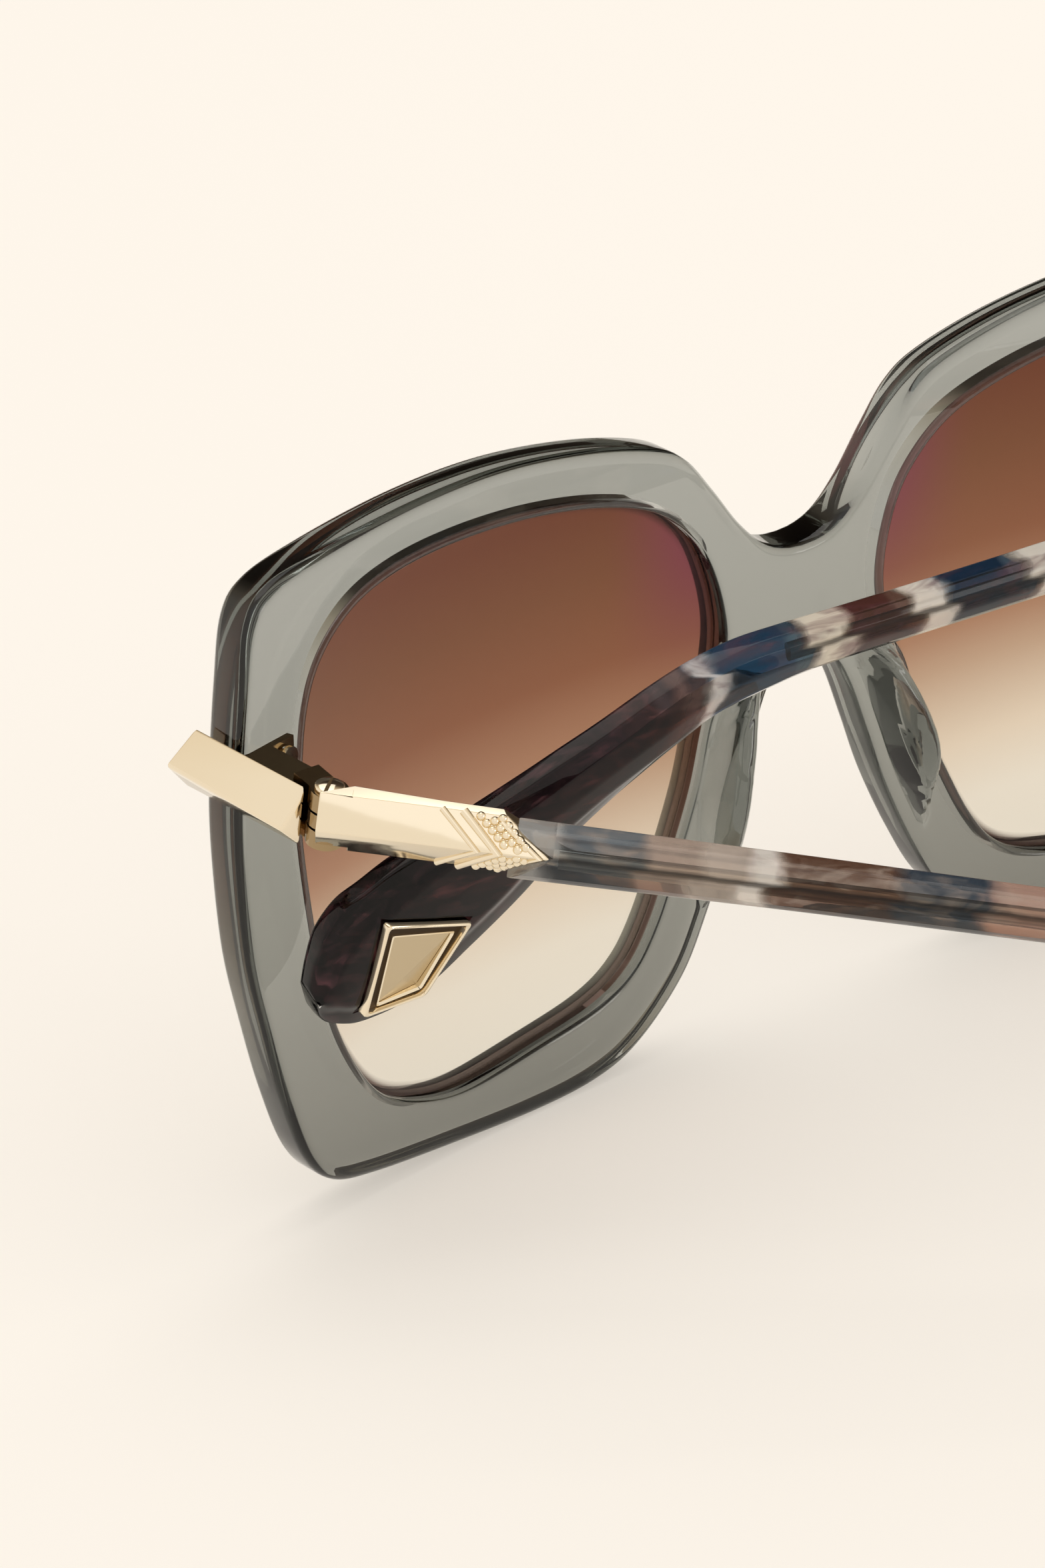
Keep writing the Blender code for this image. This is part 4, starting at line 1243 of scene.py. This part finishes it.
def plaque_lines():
    return on_arm(PLAQUE), grown(on_arm(PLAQUE_WINDOW), -WINDOW_IN)


def bezel_mesh():
    """The polished rim of the plaque: a rolled outer edge, a channel and a fine inner bevel."""
    outside, window = plaque_lines()
    rings = []
    for base, corner, lines in (
        (outside, RIM_CORNER, RIM_OUTSIDE), (window, WINDOW_CORNER, RIM_INSIDE)
    ):
        for amount, out in lines:
            rings.append(at_height(rounded(grown(base, amount), corner, 4), out))
    return mesh_from("bezel", skin(rings, closed=True))


def channel_shade_mesh():
    """A dark floor all round the channel of the plaque's rim: painted shade."""
    outside, window = plaque_lines()
    low, high = CHANNEL_HEIGHTS
    rings = []
    for base, amount, heights in (
        (outside, CHANNEL_OUTSIDE, (low, high)), (window, CHANNEL_INSIDE, (high, low))
    ):
        line = rounded(grown(base, amount), CHANNEL_CORNER, 4)
        rings.extend(at_height(line, out) for out in heights)
    return mesh_from("channel", skin(rings, closed=True))


def inset_mesh():
    """The brushed inset of the plaque, creased along its long diagonal."""
    corners = grown(plaque_lines()[1], INSET_GROWTH)
    bm = bmesh.new()
    low = [bm.verts.new(point) for point in at_height(corners, INSET_FLOOR)]
    high = [bm.verts.new(point) for point in at_height(corners, INSET_LOW)]
    bm.faces.new(low)
    for i in range(4):
        bm.faces.new((low[i - 1], low[i], high[i], high[i - 1]))
        if i % 2:
            high[i].co.x = INSET_HIGH
    bm.faces.new((high[1], high[2], high[3]))
    bm.faces.new((high[3], high[0], high[1]))
    return bevelled(mesh_from("inset", bm), INSET_EDGE, 2, 8)


class SUNGLASSES_OT_arms(bpy.types.Operator):
    """Makes the two acetate arms with the plaques on their tips"""

    bl_idname = "sunglasses.arms"
    bl_label = "Acetate arms"

    def execute(self, context):
        arm = arm_mesh()
        place = arm.attributes.new("arm_place", "FLOAT_VECTOR", "POINT")
        for vert, entry in zip(arm.vertices, place.data):
            entry.vector = vert.co * 1000
        for name, mesh, slot, finish, node, sharp in (
            ("acetate_arm", arm, "mottled_acetate", "mottled_acetate_{side}", "temple", 35),
            ("plaque_rim", bezel_mesh(), "pale_gold_plating", GOLD, "tip_bezel", 32),
            # The channel's dark floor is painted shade.
            ("plaque_channel_shade", channel_shade_mesh(), "hinge_metal", "painted_shade_channel_brass", "", 32),
            ("plaque_inset", inset_mesh(), "brushed_pale_gold", "satin_brushed_gold",
             "tip_inlay", 5),
        ):
            pair(name, mesh, arm_place, finish, node, sharp)
        return {"FINISHED"}


class SUNGLASSES_OT_finishes(bpy.types.Operator):
    """Makes the materials"""

    bl_idname = "sunglasses.finishes"
    bl_label = "Finishes"

    def execute(self, context):
        look = context.scene.sunglasses_look
        tumbled_acetate(look)
        tinted_lens(look)
        plated_gold(look)
        brushed_gold()
        # Hinge brass, tumbled bright in a barrel, with stains 4 mm apart.
        worn_metal("barrelled_hinge_brass", "#a08a68", 250.0, 0.12, 0.2)
        # The same brass, darkened as painted shade for the floor of the plaque's channel.
        worn_metal("painted_shade_channel_brass", "#43372a", 250.0, 0.3, 0.4)
        # Drawn nickel silver with a grain of 1.4 mm, seen through the acetate.
        worn_metal("drawn_nickel_silver", "#b9b3a6", 700.0, 0.25, 0.4)
        # Each chip: where it starts on the arm, in millimetres from the pin, and its colour.
        mottled_acetate("mottled_acetate_left", "#b8aaa0", (
            (12, "#c2c1be"), (19, "#6a737c"), (26.5, "#b5a398"), (31, "#cbbdb1"),
            (35.5, "#e9e2da"), (38, "#5e4437"), (48.5, "#3a4552"), (56.5, "#b39387"),
            (63, "#e0d5cc"), (66, "#26384b"), (76, "#6a4a40"), (84, "#2c2328"),
            (96, "#211a1d"),
        ))
        mottled_acetate("mottled_acetate_right", "#6b434b", (
            (12, "#8b8d8c"), (22, "#55606b"), (30, "#cbbdb1"), (37, "#6c4f43"),
            (47, "#3b4a5a"), (56, "#eae2d6"), (60.5, "#1b3048"), (69.5, "#efe6da"),
            (73.2, "#4a2c24"), (80.5, "#efe4d2"), (85, "#22405a"), (94.8, "#e4dcd6"),
            (96.9, "#4c2f2b"), (100, "#1f161b"), (108, "#120c0f"),
        ))
        return {"FINISHED"}


# ---- Stage ----

# The camera, in the front's own frame: its place, its right and its upward direction.
CAMERA_PLACE = (0.54769, 0.69889, 0.39295)
CAMERA_RIGHT = (-0.796, 0.6045, -0.0318)
CAMERA_UP = (-0.2726, -0.3111, 0.9105)
CAMERA_LENS_MM = 244.5
# The lamps: place, aim, width in metres, power in watts and colour.
SOFTBOXES = (
    ("back_softbox", (-0.5, -0.7, 3.0), (0, 0, 0), 2.2, 17.0, "#fffdfa"),
    ("facet_softbox", (0.85, 1.38, 2.03), (0, 0, 0.04), 1.5, 1.75, "#dce9ff"),
    ("edge_softbox", (-0.98, 1.55, 0.3), (0, 0, 0.04), 0.6, 3.0, "#fffdfa"),
)
# The room's dark side, as its direction from the part.
DARK_SIDE = Vector((-0.62, -0.6, 0.5)).normalized()
FLOOR_REACH = 3.0


def floor_surface(colour):
    # Seamless paper: matt with a soft cloud of 0.3 m. To the eye, and in gloss and clear pieces,
    # four tenths of it are plain cream, which keeps the shadows faint.
    tree, shader, output = new_surface("seamless_paper")
    fibre = noise(tree, object_place(tree), 3.0, 2.0)
    tint = ramp(tree, fibre, (0.3, (*(c * 0.985 for c in colour), 1)), (0.7, (*colour, 1)))
    fill_in(tree, shader, {"Base Color": tint, "Roughness": 1.0, "Specular IOR Level": 0.0})
    path = add_node(tree, "ShaderNodeLightPath").outputs
    seen = number(tree, "MAXIMUM", path["Is Camera Ray"], path["Is Glossy Ray"])
    seen = number(tree, "MAXIMUM", seen, path["Is Transmission Ray"])
    glow = add_node(tree, "ShaderNodeEmission", {"Color": tint, "Strength": 1.0})
    mixed_out(tree, output, number(tree, "MULTIPLY", seen, 0.4), shader, glow)
    return surface("seamless_paper")


def studio_world(colour):
    """Cream to the eye, and a room with a dark side in gloss and at the edges of clear pieces."""
    world = bpy.data.worlds.new("studio")
    world.use_nodes = True
    tree = world.node_tree
    tree.nodes.clear()
    path = add_node(tree, "ShaderNodeLightPath").outputs
    ray = add_node(tree, "ShaderNodeTexCoord").outputs["Generated"]
    split = add_node(tree, "ShaderNodeSeparateXYZ", {"Vector": ray})
    room = ramp(
        tree, dot_with(tree, ray, DARK_SIDE),
        (0.0, linear("#fdf6ec")), (0.45, linear("#f5ead9")), (0.7, linear("#cbbca5")),
        (0.88, linear("#4a4036")), (1.0, linear("#2d2620")),
    )
    ceiling = ramp(
        tree, split.outputs["Z"],
        (0.0, (*colour, 1)), (0.12, linear("#b9b3a6")), (0.35, linear("#4d4a44")),
        (1.0, linear("#3b3934")),
    )
    refracted = blend(tree, path["Is Transmission Ray"], (*colour, 1), ceiling)
    seen = blend(tree, path["Is Glossy Ray"], refracted, room)
    sky = add_node(tree, "ShaderNodeBackground", {"Color": seen, "Strength": 1.0})
    fill = add_node(
        tree, "ShaderNodeBackground", {"Color": linear("#fffdfa"), "Strength": 0.86}
    )
    output = add_node(tree, "ShaderNodeOutputWorld")
    mixed_out(tree, output, path["Is Diffuse Ray"], sky, fill)
    bpy.context.scene.world = world


def softbox(name, place, aim, size, power, colour):
    light = bpy.data.lights.new(name, "AREA")
    light.shape = "RECTANGLE"
    light.size = light.size_y = size
    light.energy = power
    light.color = linear(colour)[:3]
    turn = (Vector(aim) - Vector(place)).to_track_quat("-Z", "Y")
    linked(name, light).matrix_world = Matrix.Translation(place) @ turn.to_matrix().to_4x4()


def photo_camera():
    """The camera at the photo's place, as the scene's camera."""
    camera = bpy.data.cameras.new("photo_camera")
    camera.sensor_fit = "VERTICAL"
    camera.sensor_height = 36
    camera.lens = CAMERA_LENS_MM
    camera.clip_start = 0.05
    camera.clip_end = 20
    right = Vector(CAMERA_RIGHT).normalized()
    back = right.cross(Vector(CAMERA_UP)).normalized()
    turn = Matrix((right, back.cross(right), back)).transposed().to_4x4()
    made = linked("photo_camera", camera)
    made.matrix_world = STAND @ Matrix.Translation(CAMERA_PLACE) @ turn
    bpy.context.scene.camera = made


class SUNGLASSES_OT_stage(bpy.types.Operator):
    """Makes the floor, the soft light and the camera"""

    bl_idname = "sunglasses.stage"
    bl_label = "Studio"

    def execute(self, context):
        colour = tuple(context.scene.sunglasses_look.backdrop)
        mesh = bpy.data.meshes.new("paper_floor")
        r = FLOOR_REACH
        mesh.from_pydata([(-r, -r, 0), (r, -r, 0), (r, r, 0), (-r, r, 0)], [], [(0, 1, 2, 3)])
        mesh.materials.append(floor_surface(colour))
        floor = linked("paper_floor", mesh)
        studio_world(colour)
        for values in SOFTBOXES:
            softbox(*values)
        photo_camera()
        context.scene.view_settings.view_transform = "Standard"
        return {"FINISHED"}


class SUNGLASSES_PT_panel(bpy.types.Panel):
    bl_label = "Square sunglasses"
    bl_space_type = "VIEW_3D"
    bl_region_type = "UI"
    bl_category = "Sunglasses"

    def draw(self, context):
        for group in (context.scene.sunglasses_look, context.scene.sunglasses_sizes):
            for name in group.__annotations__:
                self.layout.prop(group, name)
        for step in STEPS:
            self.layout.operator(step.bl_idname)


STEPS = (
    SUNGLASSES_OT_finishes, SUNGLASSES_OT_front, SUNGLASSES_OT_lenses, SUNGLASSES_OT_trim,
    SUNGLASSES_OT_hinges, SUNGLASSES_OT_arms, SUNGLASSES_OT_stage,
)
CLASSES = (SunglassesLook, SunglassesSizes, *STEPS, SUNGLASSES_PT_panel)


def register():
    for item in CLASSES:
        bpy.utils.register_class(item)
    bpy.types.Scene.sunglasses_look = bpy.props.PointerProperty(type=SunglassesLook)
    bpy.types.Scene.sunglasses_sizes = bpy.props.PointerProperty(type=SunglassesSizes)


def unregister():
    del bpy.types.Scene.sunglasses_look
    del bpy.types.Scene.sunglasses_sizes
    for item in reversed(CLASSES):
        bpy.utils.unregister_class(item)


def main():
    register()
    bpy.ops.sunglasses.finishes()
    bpy.ops.sunglasses.front()
    bpy.ops.sunglasses.lenses()
    bpy.ops.sunglasses.trim()
    bpy.ops.sunglasses.hinges()
    bpy.ops.sunglasses.arms()
    bpy.ops.sunglasses.stage()


if __name__ == "__main__":
    main()
